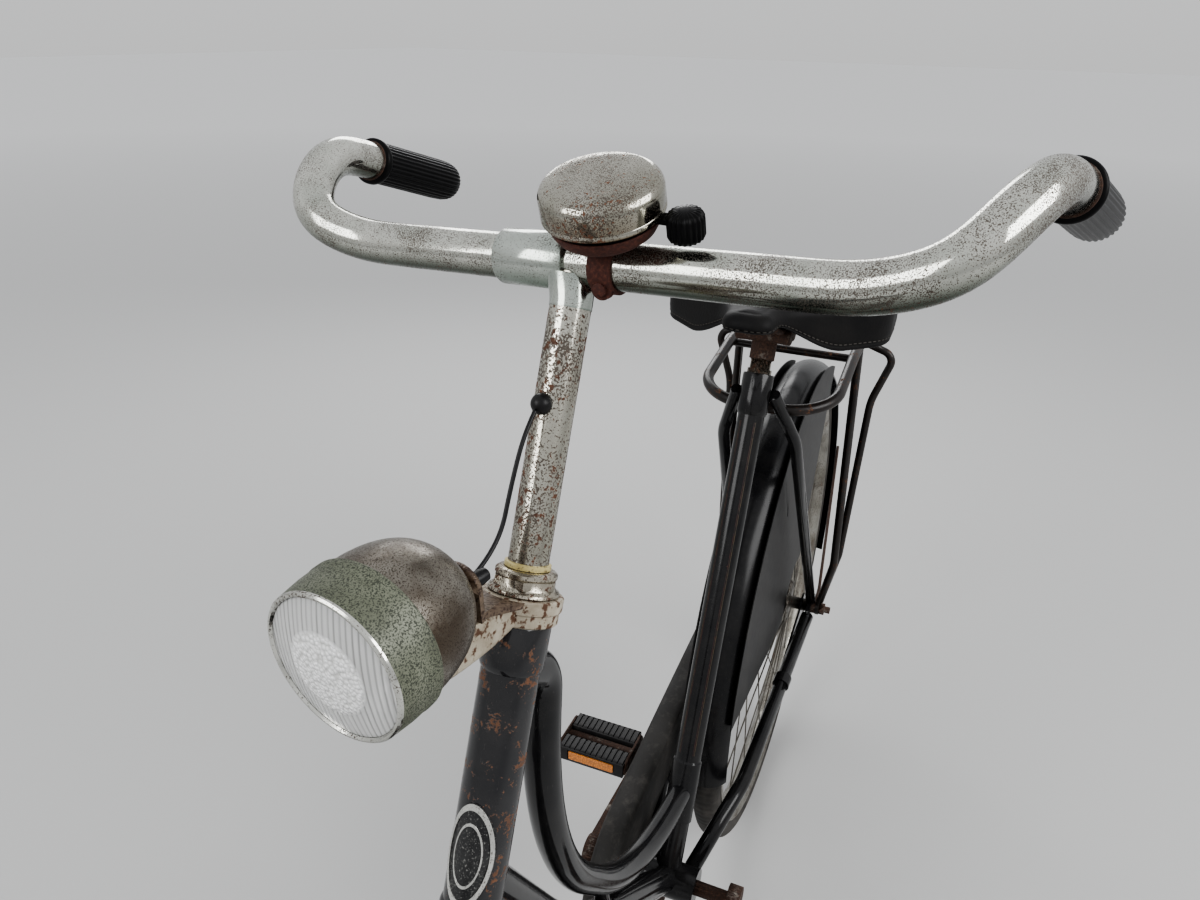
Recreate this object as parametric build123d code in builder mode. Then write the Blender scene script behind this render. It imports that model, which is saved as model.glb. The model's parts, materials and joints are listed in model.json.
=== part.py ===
from build123d import *
from math import atan2, cos, degrees, radians, sin, sqrt, tan
import os

# Step-through roadster bicycle, millimetres.
# +X points forward, +Y to the rider's left and +Z up.
# The origin lies on the ground under the middle of the wheelbase.

# Main geometry
wheelbase = 1108.0
chainstay_length = 489.0
bottom_bracket_drop = 70.0
seat_tube_angle = 67.0
head_angle = 67.5
fork_offset = 78.0
axle_to_crown = 385.0
steering_turn = -8.5

# Wheels
tyre_width = 38.0
tyre_height = 36.0
tyre_seat_radius = 319.0
tyre_radius = tyre_seat_radius + tyre_height
rim_depth = 14.0
rim_width = 34.0
rim_wall = 2.5
flange_height = 8.0
spoke_count = 36
spoke_diameter = 2.0
spoke_shift = 2.0
flange_thickness = 3.0
front_flange_radius = 19.0
front_flange_at = 31.0
front_hub_radius = 13.0
front_hub_half = 47.0
rear_flange_radius = 31.0
rear_flange_at = 27.0
rear_hub_radius = 24.0
rear_hub_half = 55.5
axle_radius = 5.0
nut_thickness = 8.0
eye_thickness = 5.0

# Mudguards
guard_gap = 9.0
guard_width = 56.0
guard_depth = 17.0
guard_wall = 1.2
guard_rod_radius = 2.3
stay_knee_out = 36.0

# Frame tubes
frame_tube_radius = 14.3
swan_tube_radius = 12.0
head_tube_radius = 16.0
head_tube_bore = 13.4
head_tube_length = 182.5
lug_wall = 1.8
lug_length = 26.0
stay_radius = 7.0
chainstay_radius = 9.0
seat_tube_length = 566.0
shell_radius = 20.0
shell_width = 70.0
spindle_radius = 8.0
post_radius = 12.8
dropout_at = 59.0
dropout_thickness = 6.0

# Fork and headset
steerer_radius = 12.7
blade_radius = 9.5
blade_tip_radius = 7.0
blade_across = 40.0
fork_end_at = 50.0
fork_end_thickness = 5.0
crown_thickness = 14.0
cup_height = 12.0
cup_radius = 18.5
race_height = 3.0
plate_thickness = 3.0
lock_nut_height = 14.0

# Stem, handlebar and grips
stem_radius = 11.1
stem_rise = 162.0
bar_radius = 12.4
grip_radius = 14.2
grip_length = 96.0

# Gaps
fit_gap = 0.3
running_gap = 0.1

# Derived places
rear_axle = Vector(-wheelbase / 2, 0, tyre_radius)
front_axle = Vector(wheelbase / 2, 0, tyre_radius)
bracket_height = tyre_radius - bottom_bracket_drop
bracket_x = rear_axle.X + sqrt(chainstay_length**2 - bottom_bracket_drop**2)
bracket = Vector(bracket_x, 0, bracket_height)
seat_up = Vector(-cos(radians(seat_tube_angle)), 0, sin(radians(seat_tube_angle)))
head_up = Vector(-cos(radians(head_angle)), 0, sin(radians(head_angle)))
head_forward = Vector(sin(radians(head_angle)), 0, cos(radians(head_angle)))
guard_radius = tyre_radius + guard_gap

# Distances along the steering axis from its foot, the point nearest the front axle
steer_foot = front_axle - head_forward * fork_offset
crown_at = sqrt(axle_to_crown**2 - fork_offset**2)
head_tube_at = crown_at + cup_height
upper_cup_at = head_tube_at + head_tube_length
plate_at = upper_cup_at + cup_height
lock_nut_at = plate_at + plate_thickness
stem_ring_at = lock_nut_at + lock_nut_height
bar_at = stem_ring_at + stem_rise
steering_axis = Axis(tuple(steer_foot), tuple(head_up))


def on_steering(distance, forward=0.0, across=0.0):
    return steer_foot + head_up * distance + head_forward * forward + Vector(0, across, 0)


def steering_plane(distance, forward=0.0, across=0.0):
    return Plane(origin=on_steering(distance, forward, across), x_dir=(0, 1, 0), z_dir=head_up)


def seat_plane(distance):
    return Plane(origin=bracket + seat_up * distance, x_dir=(0, 1, 0), z_dir=seat_up)


def side_plane(across, origin=Vector(0, 0, 0)):
    """A plane seen from the rider's right, x forward and y up, drawn from y = across to the right."""
    return Plane(origin=(origin.X, across, origin.Z), x_dir=(1, 0, 0), z_dir=(0, -1, 0))


def between(first, second, share):
    return first + (second - first) * share


def across_by(point, distance):
    return Vector(point.X, distance, point.Z)


def bend_radii(points, shares):
    """For each inner corner, the arc that uses the given share of the shorter run beside it."""
    radii = []
    for index, share in enumerate(shares, 1):
        before = points[index] - points[index - 1]
        after = points[index + 1] - points[index]
        half_turn = radians(before.get_angle(after)) / 2
        radii.append(share * min(before.length, after.length) / tan(half_turn))
    return radii


def rod(points, radius, bends):
    """A round rod or tube along straight runs joined by arcs."""
    with BuildPart() as bent:
        with BuildLine() as path:
            if len(points) > 2:
                FilletPolyline(*points, radius=bends)
            else:
                Line(*points)
        route = path.wire()
        with BuildSketch(Plane(origin=route @ 0, z_dir=route % 0)):
            Circle(radius)
        sweep()
    return bent.part


def tapered_rod(points, start_radius, end_radius, bend):
    """A rod along straight runs joined by arcs, growing thinner from its start to its end."""
    with BuildPart() as bent:
        with BuildLine() as path:
            FilletPolyline(*points, radius=bend)
        route = path.wire()
        with BuildSketch(Plane(origin=route @ 0, z_dir=route % 0)):
            Circle(start_radius)
        with BuildSketch(Plane(origin=route @ 1, z_dir=route % 1)):
            Circle(end_radius)
        sweep(path=route, multisection=True)
    return bent.part


pieces = {}
steered = {}

# Head tube with its two lugs
head_lug_radius = head_tube_radius + lug_wall
with BuildPart() as head_tube:
    with BuildSketch(steering_plane(head_tube_at)):
        Circle(head_tube_radius)
    extrude(amount=head_tube_length)
    for lug_from in (head_tube_at, head_tube_at + head_tube_length - lug_length):
        with BuildSketch(steering_plane(lug_from)):
            Circle(head_lug_radius)
        extrude(amount=lug_length)
    with BuildSketch(steering_plane(head_tube_at)):
        Circle(head_tube_bore)
    extrude(amount=head_tube_length, mode=Mode.SUBTRACT)
pieces["head_tube"] = head_tube

# Headset cups, pressed on the head tube's ends
with BuildPart() as head_cups:
    for cup_from in (crown_at + race_height + fit_gap, upper_cup_at):
        with BuildSketch(steering_plane(cup_from)):
            Circle(cup_radius)
            Circle(steerer_radius + running_gap, mode=Mode.SUBTRACT)
        extrude(amount=cup_height - race_height - fit_gap)
pieces["head_cups"] = head_cups

# Swan-neck tube, from the upper head lug down and back to the seat tube
swan_join = 102.0
swan_drop = 26.0
swan_reach = 46.5
swan_dip = 11.5
swan_end = bracket + seat_up * swan_join
swan_start = on_steering(upper_cup_at - swan_drop)
swan_neck = on_steering(upper_cup_at - swan_drop - swan_dip, forward=-swan_reach)
swan_rise = swan_neck - swan_end
swan_points = [
    swan_start,
    swan_neck,
    swan_end + Vector(1.03 * swan_rise.X, 0, 0.63 * swan_rise.Z),
    swan_end + Vector(0.487 * swan_rise.X, 0, 0.087 * swan_rise.Z),
    swan_end,
]
swan_bends = bend_radii(swan_points, [0.33, 0.8, 0.8])
swan_rod = rod(swan_points, swan_tube_radius, swan_bends)
with BuildPart() as swan_tube:
    add(swan_rod)
    with BuildSketch(steering_plane(head_tube_at)):
        Circle(head_lug_radius + fit_gap)
    extrude(amount=head_tube_length + cup_height, mode=Mode.SUBTRACT)
    with BuildSketch(seat_plane(0)):
        Circle(frame_tube_radius + fit_gap)
    extrude(amount=seat_tube_length, mode=Mode.SUBTRACT)
pieces["swan_tube"] = swan_tube

# Down tube, from the lower head lug to the bottom bracket, with the short bridge to the swan neck
down_join = 38.0
bridge_radius = 6.5
down_start = on_steering(head_tube_at + down_join)
down_rise = down_start - bracket
down_knee = bracket + Vector(0.682 * down_rise.X, 0, 0.54 * down_rise.Z)
down_points = [down_start, down_knee, bracket]
down_rod = rod(down_points, frame_tube_radius, bend_radii(down_points, [0.375]))
bridge_rod = rod(
    [between(down_knee, bracket, 0.29), between(swan_points[2], swan_points[3], 0.59)], bridge_radius, None
)
swan_clear = rod(swan_points, swan_tube_radius + fit_gap, swan_bends)
with BuildPart() as down_tube:
    add(down_rod)
    add(bridge_rod)
    add(swan_clear, mode=Mode.SUBTRACT)
    with BuildSketch(steering_plane(head_tube_at)):
        Circle(head_lug_radius + fit_gap)
    extrude(amount=head_tube_length, mode=Mode.SUBTRACT)
    with BuildSketch(steering_plane(head_tube_at - 2 * frame_tube_radius)):
        Circle(cup_radius + fit_gap)
    extrude(amount=2 * frame_tube_radius, mode=Mode.SUBTRACT)
    with BuildSketch(seat_plane(0)):
        Circle(frame_tube_radius + fit_gap)
    extrude(amount=seat_tube_length, mode=Mode.SUBTRACT)
    with BuildSketch(side_plane(shell_width, bracket)):
        Circle(shell_radius + fit_gap)
    extrude(amount=2 * shell_width, mode=Mode.SUBTRACT)
pieces["down_tube"] = down_tube

# Seat tube with the seat lug
seat_lug_length = 44.0
seat_lug_radius = frame_tube_radius + 2.0
with BuildPart() as seat_tube:
    with BuildSketch(seat_plane(shell_radius / 2)):
        Circle(frame_tube_radius)
    extrude(amount=seat_tube_length - shell_radius / 2)
    with BuildSketch(seat_plane(seat_tube_length - seat_lug_length)):
        Circle(seat_lug_radius)
    extrude(amount=seat_lug_length)
    with BuildSketch(seat_plane(0)):
        Circle(post_radius + running_gap)
    extrude(amount=seat_tube_length, mode=Mode.SUBTRACT)
    with BuildSketch(side_plane(shell_width, bracket)):
        Circle(shell_radius + fit_gap)
    extrude(amount=2 * shell_width, mode=Mode.SUBTRACT)
pieces["seat_tube"] = seat_tube

# Bottom bracket shell
with BuildPart() as bottom_bracket:
    with BuildSketch(side_plane(shell_width / 2, bracket)):
        Circle(shell_radius)
        Circle(spindle_radius + running_gap, mode=Mode.SUBTRACT)
    extrude(amount=shell_width)
pieces["bottom_bracket"] = bottom_bracket

# Chain stays with the dropouts
stay_paths = {}
for side in (1, -1):
    start = across_by(bracket + Vector(-6, 0, 2), side * 21)
    knee = across_by(between(start, rear_axle, 0.3), side * 47)
    end = across_by(rear_axle + Vector(24, 0, -3), side * dropout_at)
    stay_paths[side] = [start, knee, end]
chainstay_rods = {side: rod(stay_paths[side], chainstay_radius, 160) for side in (1, -1)}
with BuildPart() as chain_stays:
    for side in (1, -1):
        add(chainstay_rods[side])
        with BuildSketch(side_plane(side * dropout_at + dropout_thickness / 2, rear_axle)):
            with Locations((6, 0)):
                SlotOverall(58, 30)
        extrude(amount=dropout_thickness)
    with BuildSketch(side_plane(shell_width, bracket)):
        Circle(shell_radius + fit_gap)
    extrude(amount=2 * shell_width, mode=Mode.SUBTRACT)
    with BuildSketch(side_plane(2 * dropout_at, rear_axle)):
        Circle(axle_radius + running_gap)
    extrude(amount=4 * dropout_at, mode=Mode.SUBTRACT)
pieces["chain_stays"] = chain_stays

# Seat stays, slotted over the dropouts
seatstay_paths = {}
stay_top = bracket + seat_up * (seat_tube_length - 20)
for side in (1, -1):
    start = across_by(stay_top, side * 20)
    knee = across_by(between(stay_top, rear_axle, 0.16), side * 42)
    end = across_by(rear_axle + Vector(6, 0, 14), side * dropout_at)
    seatstay_paths[side] = [start, knee, end]
seatstay_rods = {side: rod(seatstay_paths[side], stay_radius, 120) for side in (1, -1)}
with BuildPart() as seat_stays:
    for side in (1, -1):
        add(seatstay_rods[side])
        with BuildSketch(side_plane(side * dropout_at + dropout_thickness / 2 + fit_gap, rear_axle)):
            with Locations((6, 0)):
                SlotOverall(58 + 2 * fit_gap, 30 + 2 * fit_gap)
        extrude(amount=dropout_thickness + 2 * fit_gap, mode=Mode.SUBTRACT)
    with BuildSketch(seat_plane(0)):
        Circle(seat_lug_radius + running_gap)
    extrude(amount=seat_tube_length + 60, mode=Mode.SUBTRACT)
pieces["seat_stays"] = seat_stays

# Rear axle with its nuts
axle_end = 8.0
rear_nut_at = dropout_at + dropout_thickness / 2 + 2 * eye_thickness
with BuildPart() as rear_axle_rod:
    with BuildSketch(side_plane(rear_nut_at + nut_thickness + axle_end, rear_axle)):
        Circle(axle_radius)
    extrude(amount=2 * (rear_nut_at + nut_thickness + axle_end))
    for side in (1, -1):
        with BuildSketch(side_plane(side * rear_nut_at, rear_axle)):
            RegularPolygon(8.6, 6)
        extrude(amount=-side * nut_thickness)
pieces["rear_axle"] = rear_axle_rod


# Wheels

def make_tyre(axle):
    with BuildPart() as tyre:
        seat_half = rim_width / 2 - rim_wall - fit_gap
        with BuildSketch(Plane.XY):
            with BuildLine():
                Polyline(
                    (tyre_seat_radius, -seat_half),
                    (tyre_seat_radius + flange_height, -seat_half),
                    (tyre_radius - tyre_width / 2, -tyre_width / 2),
                )
                ThreePointArc(
                    (tyre_radius - tyre_width / 2, -tyre_width / 2),
                    (tyre_radius, 0),
                    (tyre_radius - tyre_width / 2, tyre_width / 2),
                )
                Polyline(
                    (tyre_radius - tyre_width / 2, tyre_width / 2),
                    (tyre_seat_radius + flange_height, seat_half),
                    (tyre_seat_radius, seat_half),
                    (tyre_seat_radius, -seat_half),
                )
            make_face()
        revolve(axis=Axis.Y)
    return Pos(*axle) * tyre.part


def make_rim(axle):
    inner = tyre_seat_radius - fit_gap
    half = rim_width / 2
    with BuildPart() as rim:
        with BuildSketch(Plane.XY):
            with BuildLine():
                Polyline(
                    (inner + flange_height, half),
                    (inner, half),
                    (inner - rim_depth, half / 2),
                    (inner - rim_depth, -half / 2),
                    (inner, -half),
                    (inner + flange_height, -half),
                    (inner + flange_height, -half + rim_wall),
                    (inner, -half + rim_wall),
                    (inner - rim_depth / 2, 0),
                    (inner, half - rim_wall),
                    (inner + flange_height, half - rim_wall),
                    close=True,
                )
            make_face()
        revolve(axis=Axis.Y)
    return Pos(*axle) * rim.part


def make_hub(axle, half, shell, flange_radius, flange_at):
    """A hub with its flanges and tangent spokes, crossed in pairs on each flange."""
    rim_inside = tyre_seat_radius - fit_gap - rim_depth - fit_gap
    pitch = 360 / spoke_count
    reach = flange_radius - 4
    with BuildPart() as hub:
        with BuildSketch(side_plane(half)):
            Circle(9)
        extrude(amount=2 * half)
        with BuildSketch(side_plane(flange_at)):
            Circle(shell)
        extrude(amount=2 * flange_at)
        for side in (1, -1):
            with BuildSketch(side_plane(side * flange_at + flange_thickness / 2)):
                Circle(flange_radius)
            extrude(amount=flange_thickness)
        for index in range(spoke_count):
            side = 1 if index % 2 else -1
            lean = 1 if index % 4 < 2 else -1
            rim_turn = radians(index * pitch)
            hub_turn = rim_turn + lean * radians(64)
            start = Vector(
                reach * cos(hub_turn),
                side * flange_at + lean * spoke_shift,
                reach * sin(hub_turn),
            )
            end = Vector(rim_inside * cos(rim_turn), side * 2.5, rim_inside * sin(rim_turn))
            with BuildSketch(Plane(origin=start, z_dir=end - start)):
                Circle(spoke_diameter / 2)
            extrude(amount=(end - start).length)
        with BuildSketch(side_plane(2 * half)):
            Circle(axle_radius + running_gap)
        extrude(amount=4 * half, mode=Mode.SUBTRACT)
    return Pos(*axle) * hub.part


rear_wheel_hub = make_hub(rear_axle, rear_hub_half, rear_hub_radius, rear_flange_radius, rear_flange_at)
front_wheel_hub = make_hub(front_axle, front_hub_half, front_hub_radius, front_flange_radius, front_flange_at)

finished = {
    "rear_tyre": make_tyre(rear_axle),
    "rear_rim": make_rim(rear_axle),
    "rear_hub_and_spokes": rear_wheel_hub,
}
turned = {
    "front_tyre": make_tyre(front_axle),
    "front_rim": make_rim(front_axle),
    "front_hub_and_spokes": front_wheel_hub,
}

# Fork: steerer, crown with sloping shoulders, and curved, tapered blades
shoulder_drop = 10.0
crown_boss = 18.0
crown_arch = 31.0
crown_edge = blade_across + blade_radius + 1
crown_low = -shoulder_drop - crown_thickness
fork_end_outside = fork_end_at + fork_end_thickness / 2
blades = {}
for side in (1, -1):
    top = on_steering(crown_at - shoulder_drop - crown_thickness / 2, across=side * blade_across)
    knee = on_steering(fork_offset * 1.9, across=side * (fork_end_at - 3))
    end = on_steering(8, forward=fork_offset - 5, across=side * fork_end_at)
    blades[side] = tapered_rod([top, knee, end], blade_radius, blade_tip_radius, 230)
with BuildPart() as fork:
    with BuildSketch(steering_plane(crown_at + crown_low)):
        SlotOverall(2 * (blade_across + blade_radius), 2 * steerer_radius + 2)
    extrude(amount=-crown_low)
    with BuildSketch(Plane(origin=on_steering(crown_at), x_dir=(0, 1, 0), z_dir=head_forward)):
        with BuildLine():
            Polyline(
                (-crown_edge, -shoulder_drop),
                (-crown_boss, 0),
                (crown_boss, 0),
                (crown_edge, -shoulder_drop),
                (crown_edge, crown_low),
                (crown_arch, crown_low),
                (crown_arch, -crown_thickness),
                (-crown_arch, -crown_thickness),
                (-crown_arch, crown_low),
                (-crown_edge, crown_low),
                close=True,
            )
        make_face()
    extrude(amount=crown_edge, both=True, mode=Mode.INTERSECT)
    for side in (1, -1):
        add(blades[side])
        with BuildSketch(side_plane(side * fork_end_at + fork_end_thickness / 2, front_axle)):
            Circle(12)
        extrude(amount=fork_end_thickness)
    with BuildSketch(steering_plane(crown_at - 1)):
        Circle(steerer_radius)
        Circle(stem_radius + running_gap, mode=Mode.SUBTRACT)
    extrude(amount=lock_nut_at + lock_nut_height - 2 - crown_at + 1)
    with BuildSketch(side_plane(2 * fork_end_at, front_axle)):
        Circle(axle_radius + running_gap)
    extrude(amount=4 * fork_end_at, mode=Mode.SUBTRACT)
    for side in (1, -1):
        inner = fork_end_at - fork_end_thickness / 2
        with BuildSketch(side_plane(side * inner, front_axle)):
            Circle(15)
        extrude(amount=side * 20, mode=Mode.SUBTRACT)
        with BuildSketch(side_plane(side * fork_end_outside, front_axle)):
            Circle(15)
        extrude(amount=-side * 20, mode=Mode.SUBTRACT)
steered["fork"] = fork

# Front axle with its nuts
front_nut_at = fork_end_outside + eye_thickness
with BuildPart() as front_axle_rod:
    with BuildSketch(side_plane(front_nut_at + nut_thickness + 5, front_axle)):
        Circle(axle_radius)
    extrude(amount=2 * (front_nut_at + nut_thickness + 5))
    for side in (1, -1):
        with BuildSketch(side_plane(side * front_nut_at, front_axle)):
            RegularPolygon(8.6, 6)
        extrude(amount=-side * nut_thickness)
steered["front_axle"] = front_axle_rod

# Headset races and lock nut on the steerer
with BuildPart() as headset_nuts:
    for race_from in (crown_at, plate_at - race_height):
        with BuildSketch(steering_plane(race_from)):
            Circle(head_tube_radius + 1.5)
            Circle(steerer_radius + running_gap, mode=Mode.SUBTRACT)
        extrude(amount=race_height)
    with BuildSketch(steering_plane(lock_nut_at)):
        RegularPolygon(head_tube_radius + 1.5, 6)
        Circle(steerer_radius + running_gap, mode=Mode.SUBTRACT)
    extrude(amount=lock_nut_height * 0.6)
    with BuildSketch(steering_plane(lock_nut_at + lock_nut_height * 0.6)):
        Circle(head_tube_radius - 0.6)
        Circle(steerer_radius + running_gap, mode=Mode.SUBTRACT)
    extrude(amount=lock_nut_height * 0.4)
steered["headset_nuts"] = headset_nuts

with BuildPart() as stem_ring:
    with BuildSketch(steering_plane(stem_ring_at)):
        Circle(stem_radius + 1.6)
        Circle(stem_radius + running_gap, mode=Mode.SUBTRACT)
    extrude(amount=3)
steered["stem_ring"] = stem_ring

# Handlebar stem with its lug
lug_right = -45.0
lug_left = -2.0
bar_lug_wall = 2.6
stem_depth = 60.0
neck_from = 30.0
neck_flare = 2.4
bar_centre = on_steering(bar_at)
with BuildPart() as stem:
    with BuildSketch(steering_plane(stem_ring_at - stem_depth)):
        Circle(stem_radius)
    extrude(amount=stem_rise + stem_depth)
    with BuildSketch(steering_plane(bar_at - neck_from)):
        Circle(stem_radius)
    with BuildSketch(steering_plane(bar_at - bar_radius / 2)):
        Circle(stem_radius + neck_flare)
    loft()
    with BuildSketch(side_plane(lug_left, bar_centre)):
        Circle(bar_radius + bar_lug_wall)
    extrude(amount=lug_left - lug_right)
    with BuildSketch(side_plane(stem_depth, bar_centre)):
        Circle(bar_radius + running_gap)
    extrude(amount=2 * stem_depth, mode=Mode.SUBTRACT)
steered["stem"] = stem

# Handlebar, swept back, from points on its left half
bar_half = [
    Vector(0, 152, 0),
    Vector(4, 188, 13),
    Vector(-19, 206, 37),
    Vector(-52, 214, 44),
    Vector(-170, 226, 10),
]
bar_bends = [80, 19, 74, 27]
bar_points = [bar_centre + Vector(p.X, -p.Y, p.Z) for p in reversed(bar_half)]
bar_points += [bar_centre + p for p in bar_half]
bar_rod = rod(bar_points, bar_radius, bar_bends[::-1] + bar_bends)
with BuildPart() as handlebar:
    add(bar_rod)
steered["handlebar"] = handlebar

# Grips
with BuildPart() as grips:
    for side in (1, -1):
        tip = bar_centre + across_by(bar_half[-1], side * bar_half[-1].Y)
        bend = bar_centre + across_by(bar_half[-2], side * bar_half[-2].Y)
        inward = (bend - tip).normalized()
        outside = Plane(origin=tip - inward * 3, z_dir=inward)
        with BuildSketch(outside):
            Circle(grip_radius)
        extrude(amount=grip_length)
        with BuildSketch(outside.offset(grip_length - 4)):
            Circle(grip_radius + 1.5)
        extrude(amount=4)
        with BuildSketch(outside.offset(3)):
            Circle(bar_radius + running_gap)
        extrude(amount=grip_length, mode=Mode.SUBTRACT)
steered["grips"] = grips

# Bell on the bar, leaning forward and a little to the left: dome, dished base, clamp and lever
bell_at = 20.0
bell_lean = Vector(0.333, 0.081, 0.939).normalized()
bell_rise = 31.0
bell_radius = 31.0
bell_height = 21.0
bell_edge = 9.0
base_depth = 11.0
base_inset = 3.0
bell_wall = 1.5
bell_post_radius = 3.0
neck_radius = 7.5
bell_clamp_width = 14.0
bell_clamp_wall = 2.0
lever_width = 8.0
lever_thickness = 3.0
lever_down = 6.0
knob_radius = 9.5
knob_height = 16.0
knob_ahead = -3.0
knob_out = bell_radius + 11.0
bell_seat = bar_centre + Vector(0, bell_at, 0)
bell_across = (Vector(0, 1, 0) - bell_lean * bell_lean.Y).normalized()
bell_plane = Plane(origin=bell_seat + bell_lean * bell_rise, x_dir=bell_across.cross(bell_lean), z_dir=bell_lean)
with BuildPart() as bell_base:
    with BuildSketch(bell_plane.offset(-base_depth)):
        Circle(bell_radius - base_inset - 5)
    with BuildSketch(bell_plane):
        Circle(bell_radius - base_inset)
    loft()
    with BuildSketch(bell_plane.offset(-bell_rise)):
        RectangleRounded(2 * neck_radius, bell_clamp_width - 1, 2)
    extrude(amount=bell_rise - base_depth / 2)
    with BuildSketch(side_plane(bell_seat.Y + bell_clamp_width / 2, bar_centre)):
        Circle(bar_radius + bell_clamp_wall)
    extrude(amount=bell_clamp_width)
    with BuildSketch(side_plane(stem_depth, bar_centre)):
        Circle(bar_radius + running_gap)
    extrude(amount=2 * stem_depth, mode=Mode.SUBTRACT)
    with BuildSketch(bell_plane.offset(-lever_down)):
        with Locations((knob_ahead, (bell_radius / 2 + knob_out) / 2)):
            Rectangle(lever_width, knob_out - bell_radius / 2)
    extrude(amount=lever_thickness)
    with BuildSketch(bell_plane.offset(-lever_down - knob_height / 2)):
        with Locations((knob_ahead, knob_out)):
            Circle(knob_radius)
    extrude(amount=knob_height)
    with BuildSketch(bell_plane.offset(-1)):
        Circle(bell_post_radius)
    extrude(amount=1 + bell_height - bell_wall)
steered["bell_base"] = bell_base

with BuildPart() as bell_dome:
    with BuildSketch(Plane.XY):
        Circle(bell_radius)
    extrude(amount=bell_height - fit_gap)
    fillet(bell_dome.edges().sort_by(Axis.Z)[-1], bell_edge)
    offset(amount=-bell_wall, openings=bell_dome.faces().sort_by(Axis.Z)[0])
turned["bell_dome"] = bell_plane.offset(fit_gap).location * bell_dome.part

# Lamp bracket: a plate round the steerer with a folded tab behind the lamp
lamp_radius = 39.0
lamp_shell_length = 62.0
lamp_middle = on_steering(plate_at) + Vector(112, 0, 34)
bracket_reach = 52.0
bracket_width = 26.0
bracket_ring_radius = 21.0
tab_height = 16.0
sleeve_radius = 3.2
sleeve_length = 8.0
with BuildPart() as lamp_bracket:
    with BuildSketch(steering_plane(plate_at)):
        Circle(bracket_ring_radius)
        with Locations((0, 0)):
            Rectangle(bracket_width, bracket_reach, align=(Align.CENTER, Align.MAX))
        Circle(steerer_radius + running_gap, mode=Mode.SUBTRACT)
    extrude(amount=plate_thickness)
    tab_x = lamp_middle.X - lamp_shell_length - fit_gap - plate_thickness
    with BuildSketch(Plane(origin=(tab_x, 0, lamp_middle.Z), x_dir=(0, 1, 0), z_dir=(1, 0, 0))):
        Rectangle(bracket_width, tab_height, align=(Align.CENTER, Align.MAX))
        Circle(bracket_width / 2)
    extrude(amount=plate_thickness)
    with BuildSketch(Plane(origin=(tab_x - sleeve_length, 0, lamp_middle.Z), z_dir=(1, 0, 0))):
        Circle(sleeve_radius)
    extrude(amount=sleeve_length + 1)
steered["lamp_bracket"] = lamp_bracket

# Lamp: bullet shell, rim and lens
with BuildPart() as lamp_shell:
    with BuildSketch(side_plane(0, lamp_middle)):
        with BuildLine():
            Line((0, 0), (0, lamp_radius))
            Bezier(
                (0, lamp_radius),
                (-lamp_shell_length * 0.7, lamp_radius),
                (-lamp_shell_length, lamp_radius * 0.6),
                (-lamp_shell_length, 0),
            )
            Line((-lamp_shell_length, 0), (0, 0))
        make_face()
    revolve(axis=Axis(tuple(lamp_middle), (1, 0, 0)))
steered["lamp_shell"] = lamp_shell

lamp_rim_depth = 24.0
lens_radius = 30.0
lens_bulge = 4.0
with BuildPart() as lamp_rim:
    with BuildSketch(side_plane(0, lamp_middle)):
        with BuildLine():
            Polyline(
                (fit_gap, 0),
                (fit_gap, lamp_radius),
                (lamp_rim_depth * 0.4, lamp_radius - 1),
                (lamp_rim_depth, lens_radius + 2),
                (lamp_rim_depth, lens_radius),
                (lamp_rim_depth * 0.5, lens_radius),
                (lamp_rim_depth * 0.5, 0),
                close=True,
            )
        make_face()
    revolve(axis=Axis(tuple(lamp_middle), (1, 0, 0)))
steered["lamp_rim"] = lamp_rim

with BuildPart() as lamp_lens:
    with BuildSketch(side_plane(0, lamp_middle)):
        with BuildLine():
            Line((lamp_rim_depth * 0.5 + fit_gap, 0), (lamp_rim_depth * 0.5 + fit_gap, lens_radius - fit_gap))
            Line((lamp_rim_depth * 0.5 + fit_gap, lens_radius - fit_gap), (lamp_rim_depth, lens_radius - fit_gap))
            Bezier(
                (lamp_rim_depth, lens_radius - fit_gap),
                (lamp_rim_depth + lens_bulge, lens_radius * 0.6),
                (lamp_rim_depth + lens_bulge, 0),
            )
            Line((lamp_rim_depth + lens_bulge, 0), (lamp_rim_depth * 0.5 + fit_gap, 0))
        make_face()
    revolve(axis=Axis(tuple(lamp_middle), (1, 0, 0)))
steered["lamp_lens"] = lamp_lens


# Mudguards: a bent channel round the wheel, swept from one angle to another

def make_guard(axle, start, stop):
    """Angles are counted from forward, upwards."""
    with BuildPart() as guard:
        with BuildSketch(Plane.XZ):
            with BuildLine():
                outer = ThreePointArc(
                    (guard_radius - guard_depth, guard_width / 2),
                    (guard_radius + guard_wall, 0),
                    (guard_radius - guard_depth, -guard_width / 2),
                )
                Line(outer @ 1, (guard_radius - guard_depth, -guard_width / 2 + guard_wall))
                inner = ThreePointArc(
                    (guard_radius - guard_depth, -guard_width / 2 + guard_wall),
                    (guard_radius, 0),
                    (guard_radius - guard_depth, guard_width / 2 - guard_wall),
                )
                Line(inner @ 1, outer @ 0)
            make_face()
        revolve(axis=Axis.Z, revolution_arc=stop - start)
    ring = guard.part.rotate(Axis.X, 90).rotate(Axis.Y, -start)
    return Pos(*axle) * ring


rear_guard_from = -8.0
rear_guard_to = 196.0
front_guard_from = 58.0
front_guard_to = 212.0
finished["rear_mudguard"] = make_guard(rear_axle, rear_guard_from, rear_guard_to)
turned["front_mudguard"] = make_guard(front_axle, front_guard_from, front_guard_to)


def guard_rods(axle, angle, across, eye_at, eye_tip):
    """A pair of mudguard stays from the axle eyes, bent in above the dropout, to the guard's edge."""
    out = Vector(cos(radians(angle)), 0, sin(radians(angle)))
    solids = []
    for side in (1, -1):
        foot = across_by(axle + out * 8, side * (eye_at + eye_thickness / 2))
        knee = across_by(axle + out * stay_knee_out, side * (eye_at + eye_thickness / 2))
        tip = across_by(axle + out * eye_tip, side * across)
        solids.append(rod([foot, knee, tip], guard_rod_radius, 30))
    return solids


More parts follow.
